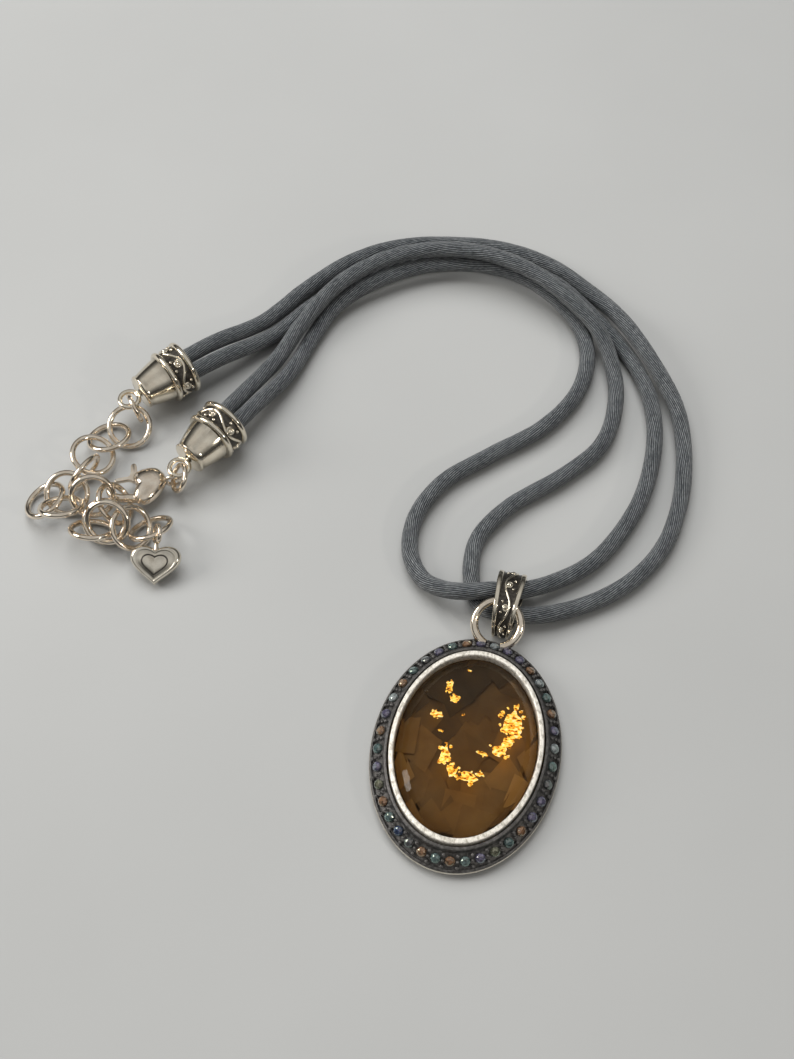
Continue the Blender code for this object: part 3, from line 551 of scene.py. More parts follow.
def satin_look():
    """Braided satin: fine threads that lie almost along the cord, broken into short floats."""
    look = Look("cord_satin", (0.07, 0.073, 0.08), 0.45, 0.0, (
        ("Sheen Weight", 0.15), ("Sheen Roughness", 0.35), ("Specular IOR Level", 0.45)))
    lay = look.node("ShaderNodeUVMap", (("uv_map", "lay"),)).outputs[0]
    parts = look.node("ShaderNodeSeparateXYZ", (), (("Vector", lay),))
    turn = look.math("MULTIPLY", parts.outputs["X"], 2 * math.pi)
    turn = look.math("ADD", turn, look.math("MULTIPLY", parts.outputs["Y"], CORD_TWIST))
    along = look.math("MULTIPLY", parts.outputs["Y"], 1 / MM)
    thread = look.math("SINE", look.math("MULTIPLY", turn, CORD_THREADS))
    spot = look.node("ShaderNodeCombineXYZ", (), (
        ("X", look.math("MULTIPLY", look.math("COSINE", turn), 3.2)),
        ("Y", look.math("MULTIPLY", look.math("SINE", turn), 3.2)),
        ("Z", look.math("MULTIPLY", along, 0.55)))).outputs[0]
    floats = look.noise(2.3, 4, spot)
    broad = look.noise(0.5, 2, spot)
    ridge = look.span(thread, -1.0, 1.0, 0.0, 1.0)
    light = look.math("ADD", look.math("MULTIPLY", ridge, 0.45), look.math("MULTIPLY", floats, 0.75))
    light = look.math("ADD", light, look.math("MULTIPLY", broad, 0.25))
    # Painted sheen on the thread crests and floats, and painted shade near black between the threads.
    look.wire(look.ramp(light, (
        (0.38, (0.005, 0.006, 0.007)), (0.60, (0.029, 0.033, 0.037)), (0.80, (0.072, 0.080, 0.087)),
        (1.0, (0.22, 0.23, 0.235)))), "Base Color")
    look.wire(look.span(light, 0.4, 1.0, 0.6, 0.3), "Roughness")
    look.bump(look.math("ADD", ridge, look.math("MULTIPLY", floats, 0.8)), 0.11)
    return look.material


def gem_look():
    """Clear amber crystal."""
    look = Look("amber_crystal", (0.93, 0.76, 0.50), 0.01, 0.0, (
        ("Transmission Weight", 1.0), ("IOR", 1.5), ("Specular IOR Level", 0.25),
        ("Specular Tint", (0.35, 0.33, 0.30, 1.0))))
    tints = ((0.35, (0.84, 0.64, 0.36)), (0.7, (0.97, 0.84, 0.60)))
    look.wire(look.ramp(look.noise(0.18, 2), tints), "Base Color")
    return look.material


def foil_look():
    """The stone's brown foil back. Each facet holds its own shade."""
    look = Look("amber_foil", (0.2, 0.09, 0.02), 0.35, 0.35)
    # The shade attribute carries painted light and shade, set per facet in make_foil.
    shade = look.node("ShaderNodeAttribute", (("attribute_name", "shade"),)).outputs["Fac"]
    shade = look.math("ADD", shade, look.math("MULTIPLY", look.noise(0.25, 3), 0.30))
    look.wire(look.ramp(shade, (
        (0.05, (0.030, 0.019, 0.010)), (0.35, (0.095, 0.056, 0.024)), (0.65, (0.22, 0.125, 0.045)),
        (1.0, (0.45, 0.26, 0.085)))), "Base Color")
    return look.material


def painted_glint_look():
    """Painted lamp glints: crumpled gold patches that glow."""
    look = Look("painted_gold_glint", (1.0, 0.6, 0.12), 0.3, 0.55, (("Emission Strength", 1.0),))
    crackle = look.noise(1.5, 7, look.place((1.0, 1.9, 1.0)))
    colour = look.ramp(crackle, (
        (0.36, (0.07, 0.018, 0.002)), (0.41, (0.62, 0.22, 0.01)), (0.47, (1.0, 0.58, 0.07)),
        (0.56, (1.0, 0.78, 0.22)), (0.64, (1.0, 0.93, 0.62))))
    look.wire(colour, "Base Color")
    # Emission paints the glint: the patches glow though they are no lamp.
    look.wire(colour, "Emission Color")
    look.bump(look.noise(3.2, 4), 0.12)
    return look.material


def pave_look(name, colour):
    """A small crystal with a rainbow coating."""
    look = Look(f"pave_{name}", colour, 0.06, 0.25, (
        ("Coat Weight", 1.0), ("Coat Roughness", 0.02), ("IOR", 1.75),
        ("Thin Film Thickness", 380.0), ("Thin Film IOR", 1.9)))
    depth = look.noise(2.4, 3)
    darker = tuple(0.25 * part for part in colour)
    look.wire(look.ramp(depth, ((0.35, darker), (0.65, colour))), "Base Color")
    return look.material


def make_looks():
    looks = {
        "silver": silver_look("cast_silver", (0.87, 0.80, 0.67), (0.77, 0.69, 0.56), 0.10, 0.20, 0.006),
        "cast": silver_look("grey_silver", (0.78, 0.73, 0.63), (0.66, 0.60, 0.50), 0.12, 0.24, 0.006),
        "chain": silver_look("warm_silver", (0.88, 0.79, 0.67), (0.74, 0.63, 0.50), 0.11, 0.22, 0.006),
        "bezel": brushed_look(),
        "oxidised": oxidised_look("oxidised_hollow", (0.050, 0.045, 0.039), 0.42),
        "halo": oxidised_look("halo_black", (0.105, 0.100, 0.096), 0.52),
        "satin": satin_look(),
        "gem": gem_look(),
        "foil": foil_look(),
        "painted_glint": painted_glint_look(),
        "steel": silver_look("spring_steel", (0.55, 0.55, 0.56), (0.4, 0.4, 0.41), 0.25, 0.4),
    }
    for name, colour in (
            ("clear", (0.30, 0.33, 0.34)), ("teal", (0.10, 0.15, 0.15)), ("violet", (0.13, 0.115, 0.19)),
            ("orange", (0.25, 0.13, 0.07)), ("smoke", (0.10, 0.10, 0.11)), ("olive", (0.16, 0.16, 0.11)),
            ("blue", (0.04, 0.06, 0.13))):
        looks[name] = pave_look(name, colour)
    glue = Look("clear_cement", (0.45, 0.42, 0.34), 0.5)
    tints = ((0.3, (0.30, 0.27, 0.20)), (0.7, (0.52, 0.49, 0.40)))
    glue.wire(glue.ramp(glue.noise(1.5, 3), tints), "Base Color")
    looks["glue"] = glue.material
    return looks


# ---------------------------------------------------------------- ornaments

def vine(name, spot, length, count, wave, wire, look):
    """A running scroll: a wave with a spiral and a grain inside each bend.

    spot(along, across, out) gives a point of the surface, from millimetres.
    """
    pitch = length / count
    bm = bmesh.new()
    strands = []
    steps = 14 * count
    strands.append([(length * k / steps, wave * math.sin(math.pi * length * k / steps / pitch), 0.0)
                    for k in range(steps + 1)])
    for unit in range(count):
        side = 1 if unit % 2 == 0 else -1
        middle = (unit + 0.5) * pitch
        reach = 0.86 * wave
        strand = []
        for k in range(29):
            share = k / 28
            turn = side * (math.pi / 2 + share * 2.7 * math.pi)
            radius = reach * (1 - 0.74 * share)
            strand.append((middle + radius * math.cos(turn),
                           side * (wave - reach) + radius * math.sin(turn), 0.0))
        strands.append(strand)
        ball(bm, Vector(spot(middle, side * (wave - reach), 0.03)), 1.5 * wire * MM)
        for off in (-0.5, 0.5):
            ball(bm, Vector(spot(middle + off * 0.42 * pitch, -side * wave * 0.92, 0.0)), 1.15 * wire * MM)
    pieces = [from_bmesh(f"{name}_grains", bm, look)]
    for number, strand in enumerate(strands):
        path = [spot(*point) for point in strand]
        radii = [wire * MM] * len(path)
        if number:
            radii = [wire * MM * (1.0 - 0.25 * k / len(path)) for k in range(len(path))]
        pieces.append(grid(f"{name}_strand_{number}", sweep(path, radii, 8), look, sharp=80))
    return join(name, pieces)


# ---------------------------------------------------------------- the pendant

def make_case(looks):
    profile = rounded(((20.4, 0.0), (20.6, 0.2), (20.4, 0.5), (18.2, 0.5), (18.2, 2.5), (17.35, 2.5),
                       (17.35, 0.8)), 0.15)
    start = int(np.argmin([height * 10 - rho for rho, height in profile]))
    rows = [[oval(rho, turn, height) for turn in circle(192)]
            for rho, height in profile[start:] + profile[:start]]
    shell = grid("pendant_case_shell", rows, looks["silver"], ends="caps", sharp=50)
    return worn(shell, "pendant", "silver", "pendant_case")


def make_halo(looks):
    profile = rounded(((17.35, 2.85), (17.35, 4.40), (17.90, 4.25), (18.00, 3.30), (20.10, 1.35),
                       (20.35, 1.85), (20.80, 1.30), (20.80, 0.80), (18.55, 0.80), (18.55, 2.85)), 0.14)

    def rim(row, column):
        return int(profile[row][0] > 20.5 and profile[(row + 1) % len(profile)][0] > 20.5)

    band = oval_band("halo_shell", profile, [looks["halo"], looks["cast"]], rim)
    return worn(band, "pendant", "oxidised", "halo_band")


def make_bezel(looks):
    profile = rounded(((17.00, 1.10), (17.00, 4.50), (16.90, 4.80), (16.15, 4.92), (15.95, 4.60),
                       (16.00, 1.10)), 0.16, 5)
    return worn(oval_band("bezel_rim", profile, looks["bezel"], count=256), "pendant", "silver", "bezel_ring")


def groove(turn, share, height):
    """A point of the halo's groove: share runs from its inner edge to its outer one, height stands off it."""
    inner, outer = oval(18.40, turn, 3.34), oval(19.90, turn, 1.92)
    out = (BAND_RATIO * math.cos(turn) * SHORT_AXIS + math.sin(turn) * LONG_AXIS).normalized()
    normal = (0.68 * out + 0.73 * UP).normalized()
    return inner.lerp(outer, share) + height * MM * normal, normal


def make_pave(looks):
    """Round cut stones in the groove, with dark grains raised between them."""
    count = len(PAVE_ORDER)
    beads = bmesh.new()
    source = random.Random(5)
    for number, colour in enumerate(PAVE_ORDER):
        turn = math.pi / 2 - math.radians(3.0) - 2 * math.pi * (number + 0.25) / count
        middle, normal = groove(turn, 0.5, 0.18)
        tilt = Vector((source.uniform(-0.12, 0.12), source.uniform(-0.12, 0.12), 0))
        stone = cut_stone(f"halo_stone_{number + 1:02d}", middle, (normal + tilt).normalized(), 0.86 * MM,
                          looks[colour], source.uniform(0, 1))
        worn(stone, "pendant", "pave", *(["pave_stones"] if number == 0 else []))
        for share, off in ((0.02, 0.5), (0.98, 0.5), (0.5, 0.5)):
            spot, _ = groove(turn - 2 * math.pi * off / count, share, 0.24)
            ball(beads, spot, (0.30 if share == 0.5 else 0.34) * MM)
    worn(from_bmesh("halo_grains", beads, looks["halo"]), "pendant", "oxidised")


def cut_stone(name, middle, normal, radius, look, twist):
    """A small round brilliant: a girdle, a crown of kite and star facets, and a table."""
    first, second = across(normal)
    bm = bmesh.new()
    loops = []
    for reach, height, shift in ((0.98, -0.35, 0), (1.0, 0.05, 0), (0.82, 0.30, 0.5), (0.52, 0.50, 0)):
        loop = []
        for turn in circle(10, shift + twist):
            outward = math.cos(turn) * first + math.sin(turn) * second
            spot = middle + radius * (reach * outward + height * normal)
            loop.append(bm.verts.new(spot))
        loops.append(loop)
    bm.faces.new(loops[0])
    bm.faces.new(loops[-1])
    for step in range(10):
        after = (step + 1) % 10
        low, girdle, crown, table = loops
        bm.faces.new((low[step], low[after], girdle[after], girdle[step]))
        bm.faces.new((girdle[step], girdle[after], crown[step]))
        bm.faces.new((girdle[after], crown[after], crown[step]))
        bm.faces.new((crown[step], crown[after], table[after]))
        bm.faces.new((crown[step], table[after], table[step]))
    bmesh.ops.recalc_face_normals(bm, faces=bm.faces)
    return from_bmesh(name, bm, look, smooth=False)


def in_stone(short, long, height):
    """A point of the stone, from shares of its half sizes and a height in millimetres."""
    return (short * STONE_SHORT * SHORT_AXIS + long * STONE_LONG * LONG_AXIS + height * UP) * MM


def dome(short, long, lower=0.0):
    """A point of the stone's dome, or of one that many millimetres lower."""
    return in_stone(short, long, STONE_TOP - STONE_FALL * (short * short + long * long) - lower)


def slice_off(bm, point, outward):
    made = bmesh.ops.bisect_plane(bm, geom=bm.verts[:] + bm.edges[:] + bm.faces[:], plane_co=point,
                                  plane_no=outward, clear_outer=True, dist=1e-7)
    edges = [part for part in made["geom_cut"] if isinstance(part, bmesh.types.BMEdge)]
    if len(edges) > 2:
        bmesh.ops.contextual_create(bm, geom=edges)


def make_stone(looks):
    """The amber stone: a block cut by a plane for each facet of its chequered dome and of its edge."""
    bm = bmesh.new()
    for height in (1.2, STONE_TOP + 1):
        for short, long in ((-1.1, -1.1), (-1.1, 1.1), (1.1, -1.1), (1.1, 1.1)):
            bm.verts.new(in_stone(short, long, height))
    bmesh.ops.convex_hull(bm, input=bm.verts[:])
    for step, turn in enumerate(circle(48, 0.5)):
        out = (math.cos(turn) / STONE_SHORT * SHORT_AXIS
               + math.sin(turn) / STONE_LONG * LONG_AXIS).normalized()
        edge = in_stone(math.cos(turn), math.sin(turn), 0.0)
        slice_off(bm, edge + 3.2 * MM * UP, (out + 0.06 * UP).normalized())
        if step % 2 == 0:
            slice_off(bm, edge + 3.55 * MM * UP, (0.75 * out + UP).normalized())
    reach = int(1 / FACET_PITCH) + 2
    for i in range(-2 * reach, 2 * reach + 1):
        for j in range(-2 * reach, 2 * reach + 1):
            short, long = (i + j) * FACET_PITCH * 0.62, (i - j) * FACET_PITCH * 0.5
            if short * short + long * long > 0.98:
                continue
            slope = (2 * STONE_FALL * short / STONE_SHORT * SHORT_AXIS
                     + 2 * STONE_FALL * long / STONE_LONG * LONG_AXIS + UP).normalized()
            slice_off(bm, dome(short, long), slope)
    bmesh.ops.recalc_face_normals(bm, faces=bm.faces)
    stone = from_bmesh("amber_stone", bm, looks["gem"], smooth=False)
    worn(stone, "pendant", "amber", "centre_stone")
    make_foil(looks)
    make_painted_glints(looks)


def make_foil(looks):
    """The stone's back: tilted facets over a plain sheet. Painted light makes the foot and sides paler."""
    source = random.Random(11)
    bm = bmesh.new()
    shade = bm.faces.layers.float.new("shade")
    step = 0.33
    twist = math.radians(-22)
    under = []
    for turn in circle(64):
        rim = STONE_SHORT * math.cos(turn) * SHORT_AXIS + STONE_LONG * math.sin(turn) * LONG_AXIS
        under.append(bm.verts.new((0.985 * rim + 1.35 * UP) * MM))
    bm.faces.new(under)[shade] = 0.34
    for i in range(-5, 6):
        for j in range(-5, 6):
            a, b = (i + (0.5 if j % 2 else 0.0)) * step, j * step
            short, long = a * math.cos(twist) - b * math.sin(twist), a * math.sin(twist) + b * math.cos(twist)
            if short * short + long * long > 1.15:
                continue
            short, long = short + source.uniform(-0.07, 0.07), long + source.uniform(-0.07, 0.07)
            turn = twist + source.uniform(-0.5, 0.5)
            size = step * source.uniform(1.05, 1.5)
            lift = 1.75 + 0.75 * (short * short + long * long) + source.uniform(-0.16, 0.16)
            tilt = (source.uniform(-0.35, 0.35), source.uniform(-0.35, 0.35))
            corners = []
            for a, b in ((-0.5, -0.5), (0.5, -0.5), (0.5, 0.5), (-0.5, 0.5)):
                s = short + size * (a * math.cos(turn) - b * math.sin(turn))
                l = long + size * (a * math.sin(turn) + b * math.cos(turn))
                inside = min(1.0, 0.97 / max(1e-6, math.hypot(s, l)))
                s, l = s * inside, l * inside
                corners.append(bm.verts.new(in_stone(s, l, lift + a * tilt[0] + b * tilt[1])))
            face = bm.faces.new(corners)
            # Painted light and shade: paler towards the foot and the sides, darker towards the top.
            painted_light_and_shade = 0.36 - 0.24 * long + 0.50 * max(0.0, abs(short) - 0.45) - 0.20 * max(0.0, long - 0.3)
            # Painted shadow of the bezel wall over the upper left.
            if short < -0.2 and long > 0.35:
                painted_light_and_shade -= 0.18
            face[shade] = min(1.0, max(0.0, painted_light_and_shade + source.uniform(-0.12, 0.18)))
    return worn(from_bmesh("stone_foil", bm, looks["foil"], smooth=False), "pendant", "amber")


def make_painted_glints(looks):
    """Ragged painted lamp glints just under the dome, each with a few crumbs around it."""
    source = random.Random(3)
    bm = bmesh.new()
    for short, long, width, length in PAINTED_GLINTS:
        pieces = [(short, long, 0.52 * width, 0.52 * length)]
        for _ in range(max(2, int(1.2 * width * length))):
            turn = source.uniform(0, 2 * math.pi)
            size = source.uniform(0.10, 0.26) * max(width, length) ** 0.5
            pieces.append((short + 0.55 * width * math.cos(turn),
                           long + 0.55 * length * math.sin(turn), size, size))
        for s, l, wide, tall in pieces:
            outline = []
            sides = 13 if wide > 0.6 else 6
            for angle in circle(sides):
                reach = source.uniform(0.55, 1.12)
                a, b = reach * wide * math.cos(angle), reach * tall * math.sin(angle)
                deep = 0.46 + source.uniform(-0.10, 0.10)
                outline.append(bm.verts.new(dome((s + a) / STONE_SHORT, (l + b) / STONE_LONG, deep)))
            middle = bm.verts.new(dome(s / STONE_SHORT, l / STONE_LONG, 0.36))
            for k in range(sides):
                bm.faces.new((middle, outline[k], outline[(k + 1) % sides]))
    return worn(from_bmesh("stone_painted_glints", bm, looks["painted_glint"], smooth=False), "pendant", "amber")


def make_pendant_ring(looks):
    """The ring soldered to the halo: its lower part ends inside the halo."""
    rise = math.cos(RING_TILT) * RING_HEADING + math.sin(RING_TILT) * UP
    axis = rise.cross(UP.cross(RING_HEADING)).normalized()
    first, second = across(axis)
    upward = math.atan2(rise.dot(second), rise.dot(first))
    half = math.radians(160)
    made = ring("pendant_loop", RING_CENTRE, axis, 3.95, 0.70, looks["chain"], 21, 96, 24,
                (upward - half, upward + half))
    return worn(made, "pendant", "silver", "pendant_ring")


# ---------------------------------------------------------------- the bail

def bail_line():
    """The bail's inner line and its outward directions, even along its length."""
    inside = closed_smooth(BAIL_INSIDE, 180)
    ahead = np.roll(inside, -1, axis=0) - np.roll(inside, 1, axis=0)
    normal = np.stack([ahead[:, 1], -ahead[:, 0]], axis=1) / np.linalg.norm(ahead, axis=1)[:, None]
    outward = ((inside - inside.mean(axis=0)) * normal).sum(axis=1) < 0
    normal[outward] *= -1
    return inside, normal


def half_width(along, height):
    """Half the band's width: it narrows towards the foot that the pendant's ring passes under."""
    share = min(1.0, max(0.0, along / 8.0))
    full = BAIL_WIDTHS[0] + (BAIL_WIDTHS[1] - BAIL_WIDTHS[0]) * share
    waist = max(0.0, 1 - along / 3.0) * max(0.0, 1 - height / 6.0)
    return full * (1 - 0.32 * waist) / 2


def make_bail(looks):
    """A band bent into a loop, with rounded rails and a scroll in the hollow between them."""
    inside, normal = bail_line()
    sideways = UP.cross(BAIL_HEADING)
    section = rounded(((-1.0, 0.0), (1.0, 0.0), (1.0, 0.72), (0.70, 0.72), (0.58, BAIL_FLOOR),
                       (-0.58, BAIL_FLOOR), (-0.70, 0.72), (-1.0, 0.72)), 0.16, 5)

    def at(along, height, side, out, way):
        half = half_width(along, height)
        flat = along + way[0] * out
        lift = float(height + way[1] * out)
        return BAIL_START + (float(flat) * BAIL_HEADING + float(side * half) * sideways + lift * UP) * MM

    rows = [[at(*spot, side, out, way) for side, out in section] for spot, way in zip(inside, normal)]

    def floor(row, column):
        side, out = section[column]
        ahead_side, ahead_out = section[(column + 1) % len(section)]
        return int(max(abs(side), abs(ahead_side)) < 0.66 and min(out, ahead_out) > 0.3)

    band = grid("bail_band", rows, [looks["silver"], looks["oxidised"]],
                ends="wrapped", index=floor, sharp=60)
    worn(band, "bail", "silver", "bail")
    outer = inside + normal * BAIL_FLOOR
    steps = np.linalg.norm(np.diff(np.vstack([outer, outer[:1]]), axis=0), axis=1)
    length = float(steps.sum())
    reached = np.concatenate([[0], np.cumsum(steps)])
    again = np.vstack([inside, inside[:1]])
    ways = np.vstack([normal, normal[:1]])

    def spot(along, side, out):
        along = along % length
        point = [float(np.interp(along, reached, again[:, k])) for k in (0, 1)]
        way = [float(np.interp(along, reached, ways[:, k])) for k in (0, 1)]
        share = half_width(*point) / (BAIL_WIDTHS[1] / 2)
        return at(*point, side * share / half_width(*point), BAIL_FLOOR + 0.04 + out, way)

    worn(vine("bail_scroll", spot, length, 7, 0.84, 0.22, looks["silver"]), "bail", "silver")


# ---------------------------------------------------------------- end caps and chain

def make_cap(letter, looks):
    start, heading, mouth = CAPS[letter]

    def bead(behind, radius, size):
        """Half a round bead on the wall, that far behind the mouth."""
        return [(mouth - behind + size * math.cos(t), radius + size * math.sin(t))
                for t in (math.pi * (1 - k / 9) for k in range(10))]

    mouth_bead = bead(0.57, 4.50, 0.53)
    inner_bead = bead(4.40, 4.53, 0.50)
    barrel = [(0.0, 0.75), (0.0, 2.85), (0.08, 3.10), (0.30, 3.25), (0.52, 3.20), (0.70, 3.14), (1.4, 3.32),
              (2.4, 3.60), (3.4, 3.86), (4.4, 4.10), (mouth - 5.0, 4.24)]
    inside = [(mouth, 3.95), (mouth - 0.15, 3.80), (mouth - 5.8, 3.75), (mouth - 6.0, 3.35), (1.0, 2.55),
              (1.0, 0.75)]
    profile = barrel + inner_bead + [(mouth - 3.78, 4.42), (mouth - 1.22, 4.42)] + mouth_bead + inside
    recess = len(barrel) + len(inner_bead)

    def hollow(row, column):
        return int(recess - 1 <= row <= recess + 1)

    cap = lathe(f"end_cap_{letter}_shell", start, heading, profile, [looks["silver"], looks["oxidised"]],
                144, hollow, 45)
    worn(cap, "root", "silver", f"end_cap_{letter}")
    first, second = across(heading)
    around = 2 * math.pi * CAP_SCROLL_RADIUS

    def spot(along, side, out):
        turn = along / CAP_SCROLL_RADIUS + (0.9 if letter == "a" else 0.35)
        radial = math.cos(turn) * first + math.sin(turn) * second
        return start + ((mouth - 2.5 + side) * heading + (4.47 + out) * radial) * MM

    worn(vine(f"end_cap_{letter}_scroll", spot, around, 6, 0.95, 0.29, looks["silver"]), "root", "silver")
    eye_middle = start - 2.4 * MM * heading
    eye = ring(f"eye_{letter}_loop", eye_middle, (0, 0, 1), 1.75, 0.45, looks["silver"], 31, 72, 16)
    path = [start - along * MM * heading for along in (0.75, 0.3, 0.0, -0.6, -1.6)]
    stem = grid(f"eye_{letter}_stem", sweep(path, [0.46 * MM, 0.42 * MM, 0.44 * MM, 0.42 * MM, 0.4 * MM], 16),
                looks["silver"], sharp=60)
    worn(join(f"eye_{letter}_wire", [eye, stem]), "root", "silver", f"eye_{letter}")


def make_chain(looks):
    for number, (name, (centre, axis, radius, wire)) in enumerate(RINGS.items()):
        made = ring(f"{name}_wire", centre, axis, radius, wire, looks["chain"], number)
        worn(made, name, "silver", name)


# ---------------------------------------------------------------- the clasp

def clasp_plate(name, outline, levels, look, count=96):
    """A plate from its outline. Each level is (height above the clasp's middle, share of full size)."""
    base = closed_smooth(outline, count)
    middle = base.mean(axis=0)
    rows = []
    for level, share in levels:
        spots = middle + (base - middle) * share
        rows.append([(x * MM, y * MM, (CLASP_HEIGHT + level) * MM) for x, y in spots])
    return grid(name, rows, look, sharp=40)


def clasp_spots(path):
    """A path in millimetres, laid at the height of the clasp's middle."""
    return [(spot[0] * MM, spot[1] * MM, CLASP_HEIGHT * MM) for spot in path]


def clasp_block(name, low, high, look):
    rows = [[(x * MM, y * MM, z * MM) for x, y in ((low[0], low[1]), (high[0], low[1]), (high[0], high[1]),
                                                   (low[0], high[1]))] for z in (low[2], high[2])]
    return grid(name, rows, look)


def upright_rod(name, profile, look, sides=32):
    """A closed rod about the clasp's pivot. Each level is (height above the pivot, radius)."""
    rows = [[CLASP_PIVOT + Vector((radius * math.cos(turn), radius * math.sin(turn), level)) * MM
             for turn in circle(sides)] for level, radius in profile]
    return grid(name, rows, look, sharp=40)


def make_clasp(looks):
    silver = looks["chain"]
    levels = [((1.75 if t > 0 else 1.45) * math.sin(t), max(0.06, math.cos(t) ** 0.75))
              for t in (0.15 * k for k in range(-10, 11))]
    body = clasp_plate("clasp_shell", CLASP_BODY_OUTLINE, levels, silver)
    hook_path = smooth_route(clasp_spots(HOOK_PATH), 6)
    radii = np.interp(np.linspace(0, 1, len(hook_path)), np.linspace(0, 1, len(HOOK_PATH)),
                      [r * MM for _, _, r in HOOK_PATH])
    hook = grid("clasp_hook", sweep(hook_path, radii, 20), silver, sharp=60)
    tip = bmesh.new()
    ball(tip, Vector((-0.0627, 0.0504, CLASP_HEIGHT * MM)), 0.56 * MM)
    tip = from_bmesh("clasp_tip", tip, silver)
    tail = ring("clasp_tail", *CLASP_LOOP, silver, 3, 48, 16)
    neck_path = clasp_spots([(x, 51.6) for x in (-55.6, -54.8, -53.9, -53.2, -52.8)])
    neck = grid("clasp_neck", sweep(neck_path, [r * MM for r in (1.65, 1.50, 1.05, 0.62, 0.42)], 20), silver)
    shell = fused("clasp_cast", [body, hook, tip, neck, tail], 0.085, 3)
    slot = clasp_block("lever_slot", (-60.5, 50.2, CLASP_HEIGHT - 0.72),
                       (-56.5, 56.0, CLASP_HEIGHT + 0.72), silver)
    pocket = clasp_block("spring_pocket", (-57.5, 50.75, CLASP_HEIGHT - 0.6),
                         (-54.3, 52.85, CLASP_HEIGHT + 0.6), silver)
    cut(shell, [slot, pocket])
    worn(shell, "clasp", "silver", "clasp_body")
    pin = upright_rod("clasp_pivot_pin", ((-1.30, 0.28), (-1.23, 0.35), (1.35, 0.35), (1.42, 0.28)), silver)
    worn(pin, "clasp", "silver", "clasp_pin")
    spring_path = smooth_route(clasp_spots(SPRING_PATH), 10)
    spring = grid("clasp_leaf_spring", sweep(spring_path, [0.16 * MM] * len(spring_path), 12), looks["steel"])
    worn(spring, "clasp", "steel", "clasp_spring")
    edge = [(-0.45, 0.94), (-0.40, 0.98), (-0.3, 1.0), (0.3, 1.0), (0.40, 0.98), (0.45, 0.94)]
    lever = clasp_plate("clasp_trigger", LEVER_OUTLINE, edge, silver, 128)
    hole = upright_rod("lever_hole", ((-2.0, 0.45), (2.0, 0.45)), silver)
    cut(lever, [hole])
    worn(lever, "clasp_lever", "silver", "clasp_lever")


# ---------------------------------------------------------------- the heart charm

def make_charm(looks):
    flat = Vector((math.cos(CHARM_HEADING), math.sin(CHARM_HEADING), 0))
    sideways = Vector((-flat.y, flat.x, 0))
    along = flat * math.cos(CHARM_TILT) - Vector((0, 0, math.sin(CHARM_TILT)))
    up = along.cross(sideways)
    centre = CHARM_EYE + CHARM_REACH * along
    count = 144

    def heart(share, lift):
        row = []
        for t in circle(count, 0.5):
            wide = 0.5 * math.copysign(abs(math.sin(t)) ** 2.2, math.sin(t))
            tall = (13 * math.cos(t) - 3.6 * math.cos(2 * t) - 1.2 * math.cos(3 * t)
                    - 0.6 * math.cos(4 * t) + 1.8) / 27
            row.append(centre + (share * (wide * CHARM_WIDTH * sideways - tall * CHARM_LENGTH * along)
                                 + lift * up) * MM)
        return row

    levels = ((0.30, -1.34), (0.55, -1.33), (0.76, -1.18), (0.90, -0.84), (0.975, -0.40),
              (1.0, 0.0), (0.99, 0.35), (0.95, 0.70), (0.89, 0.95), (0.83, 1.03), (0.78, 0.98),
              (0.74, 0.90), (0.68, 0.93), (0.55, 1.12), (0.38, 1.27), (0.20, 1.35), (0.02, 1.37))
    rows = [heart(share, lift) for share, lift in levels]
    body = grid("heart_shell", rows, looks["cast"], sharp=80)
    worn(body, "heart_charm", "silver", "heart_charm")
    eye_axis = up * math.cos(CHARM_EYE_ROLL) + sideways * math.sin(CHARM_EYE_ROLL)
    eye = ring("heart_eye_wire", CHARM_EYE, eye_axis, 1.45, 0.42, looks["chain"], 8, 72, 16)
    path = [CHARM_EYE + reach * MM * along for reach in (1.35, 1.9, 2.6, 3.4, 3.9)]
    radii = [radius * MM for radius in (0.40, 0.40, 0.48, 0.62, 0.70)]
    stem = grid("heart_stem", sweep(path, radii, 16), looks["chain"])
    worn(join("heart_eye", [eye, stem]), "heart_charm", "silver")
    line = heart(0.50, 1.17)
    inset = grid("heart_inset_line", sweep(line + line[:1], [0.14 * MM] * (count + 1), 8), looks["oxidised"])
    worn(inset, "heart_charm", "oxidised")


# ---------------------------------------------------------------- the cords

def make_cord(name, node, route, looks, seed):
    """A satin cord: a round tube with soft lumps where the braid shifts."""
    path, lengths = even_steps(smooth_route(route, 40), 0.45 * MM)
    source = random.Random(seed)
    waves = [(source.uniform(90, 700), source.uniform(0, 2 * math.pi), source.choice((1, 2, 3)))
             for _ in range(6)]

    def lumps(number, turns):
        along = lengths[number]
        swell = np.ones(len(turns))
        for rate, phase, lobes in waves:
            swell += 0.006 * np.sin(rate * along + phase + lobes * turns)
        threads = 0.012 * np.cos(CORD_THREADS * (turns + CORD_TWIST * along) / 2)
        return swell * (0.985 + threads)

    radii = np.full(len(path), CORD_RADIUS)
    made = grid(name, sweep(path, radii, 52, lumps), looks["satin"], uv=lengths, sharp=80)
    worn(made, "root", "satin", node)
    return made


# ---------------------------------------------------------------- the room

def make_floor():
    rows = [[(x, y, -0.0002) for x in (-1.5, 1.5)] for y in (-1.5, 1.5)]
    look = Look("pale_floor", (0.36, 0.362, 0.358), 0.55, 0.0)
    tints = ((0.3, (0.345, 0.347, 0.342)), (0.7, (0.372, 0.374, 0.369)))
    look.wire(look.ramp(look.noise(0.01, 4), tints), "Base Color")
    floor = grid("floor", rows, look.material, around=False, ends="open")


def area_light(name, place, target, size, power, colour, glossy=True):
    light = bpy.data.lights.new(name, "AREA")
    light.shape = "DISK"
    light.size = size
    light.energy = power
    light.color = colour
    made = placed(name, light)
    made.location = place
    made.rotation_euler = (Vector(target) - Vector(place)).to_track_quat("-Z", "Y").to_euler()
    made.visible_glossy = glossy
    made.visible_transmission = glossy


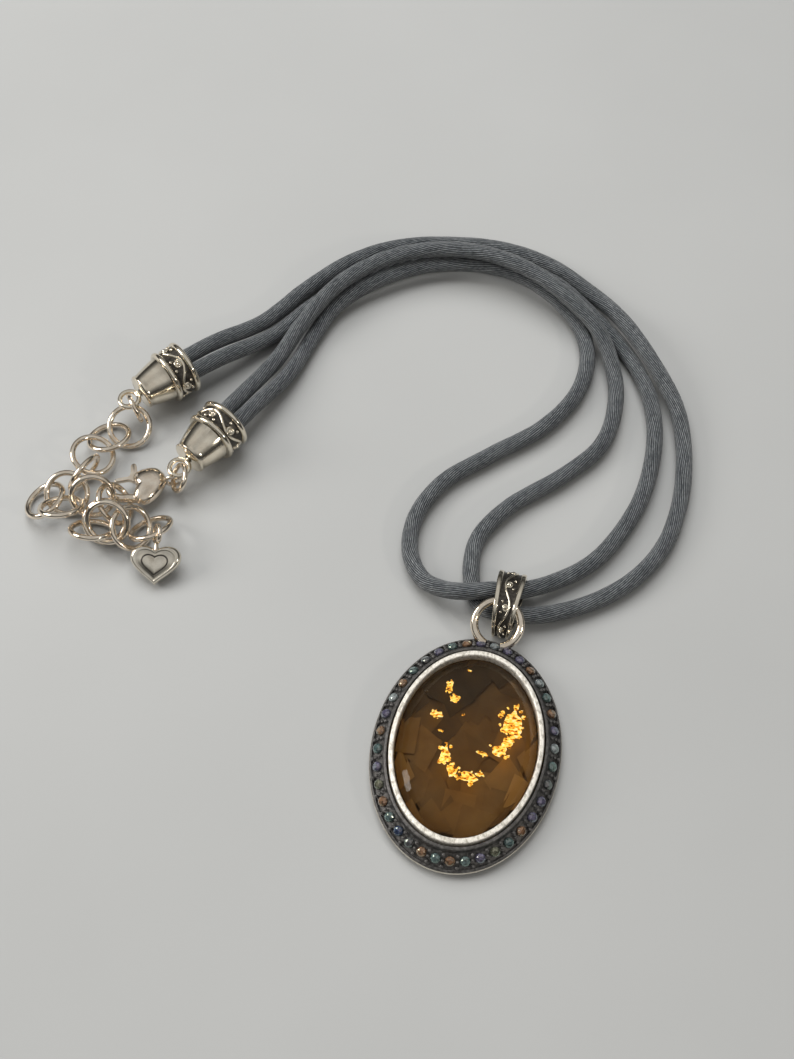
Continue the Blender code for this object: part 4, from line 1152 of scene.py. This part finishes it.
def make_room():
    """A pale floor, a soft window beyond the necklace, two small lights for the metal, and a grey room.

    Reflections do not show the window, as it would hide the stone.
    """
    make_floor()
    middle = (-0.01, 0.045, 0.0)
    area_light("window", (-0.12, 0.40, 0.72), middle, 0.8, 6.9, (1.0, 1.0, 0.995), glossy=False)
    area_light("lamp", (0.44, -0.26, 0.33), middle, 0.06, 0.5, (1.0, 0.95, 0.86))
    area_light("strip", (-0.55, 0.10, 0.33), middle, 0.32, 2.2, (1.0, 0.98, 0.94))
    world = bpy.data.worlds.new("room")
    bpy.context.scene.world = world
    world.use_nodes = True
    tree = world.node_tree
    direction = tree.nodes.new("ShaderNodeTexCoord").outputs["Generated"]
    parts = tree.nodes.new("ShaderNodeSeparateXYZ")
    tree.links.new(direction, parts.inputs[0])
    ramp = tree.nodes.new("ShaderNodeValToRGB")
    tree.links.new(parts.outputs["Z"], ramp.inputs[0])
    greys = ((0.0, 0.07), (0.30, 0.06), (0.52, 0.26), (0.72, 0.66), (0.90, 0.70), (1.0, 0.52))
    set_stops(ramp, [(height, (grey, grey, 0.985 * grey)) for height, grey in greys])
    tree.links.new(ramp.outputs["Color"], tree.nodes["Background"].inputs["Color"])
    tree.nodes["Background"].inputs["Strength"].default_value = 0.78


def make_camera():
    data = bpy.data.cameras.new("camera")
    data.lens = 54.39
    data.sensor_width = 36.0
    data.clip_start = 0.01
    camera = placed("camera", data)
    camera.location = (-0.01128, -0.09961, 0.24682)
    camera.rotation_euler = (math.radians(30), 0, 0)
    bpy.context.scene.camera = camera


def main():
    make_camera()
    looks = make_looks()
    make_cord("satin_cord_1", "cord_1", ROUTE_1, looks, 1)
    make_cord("satin_cord_2", "cord_2", ROUTE_2, looks, 2)
    make_case(looks)
    make_halo(looks)
    make_bezel(looks)
    make_pave(looks)
    make_stone(looks)
    make_pendant_ring(looks)
    make_bail(looks)
    for letter in CAPS:
        make_cap(letter, looks)
    make_chain(looks)
    make_clasp(looks)
    make_charm(looks)
    for name in ("glue_plug_a", "glue_plug_b"):
        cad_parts[name].data.materials.clear()
        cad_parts[name].data.materials.append(looks["glue"])
    make_room()
    bpy.context.scene.view_settings.view_transform = "Standard"


main()
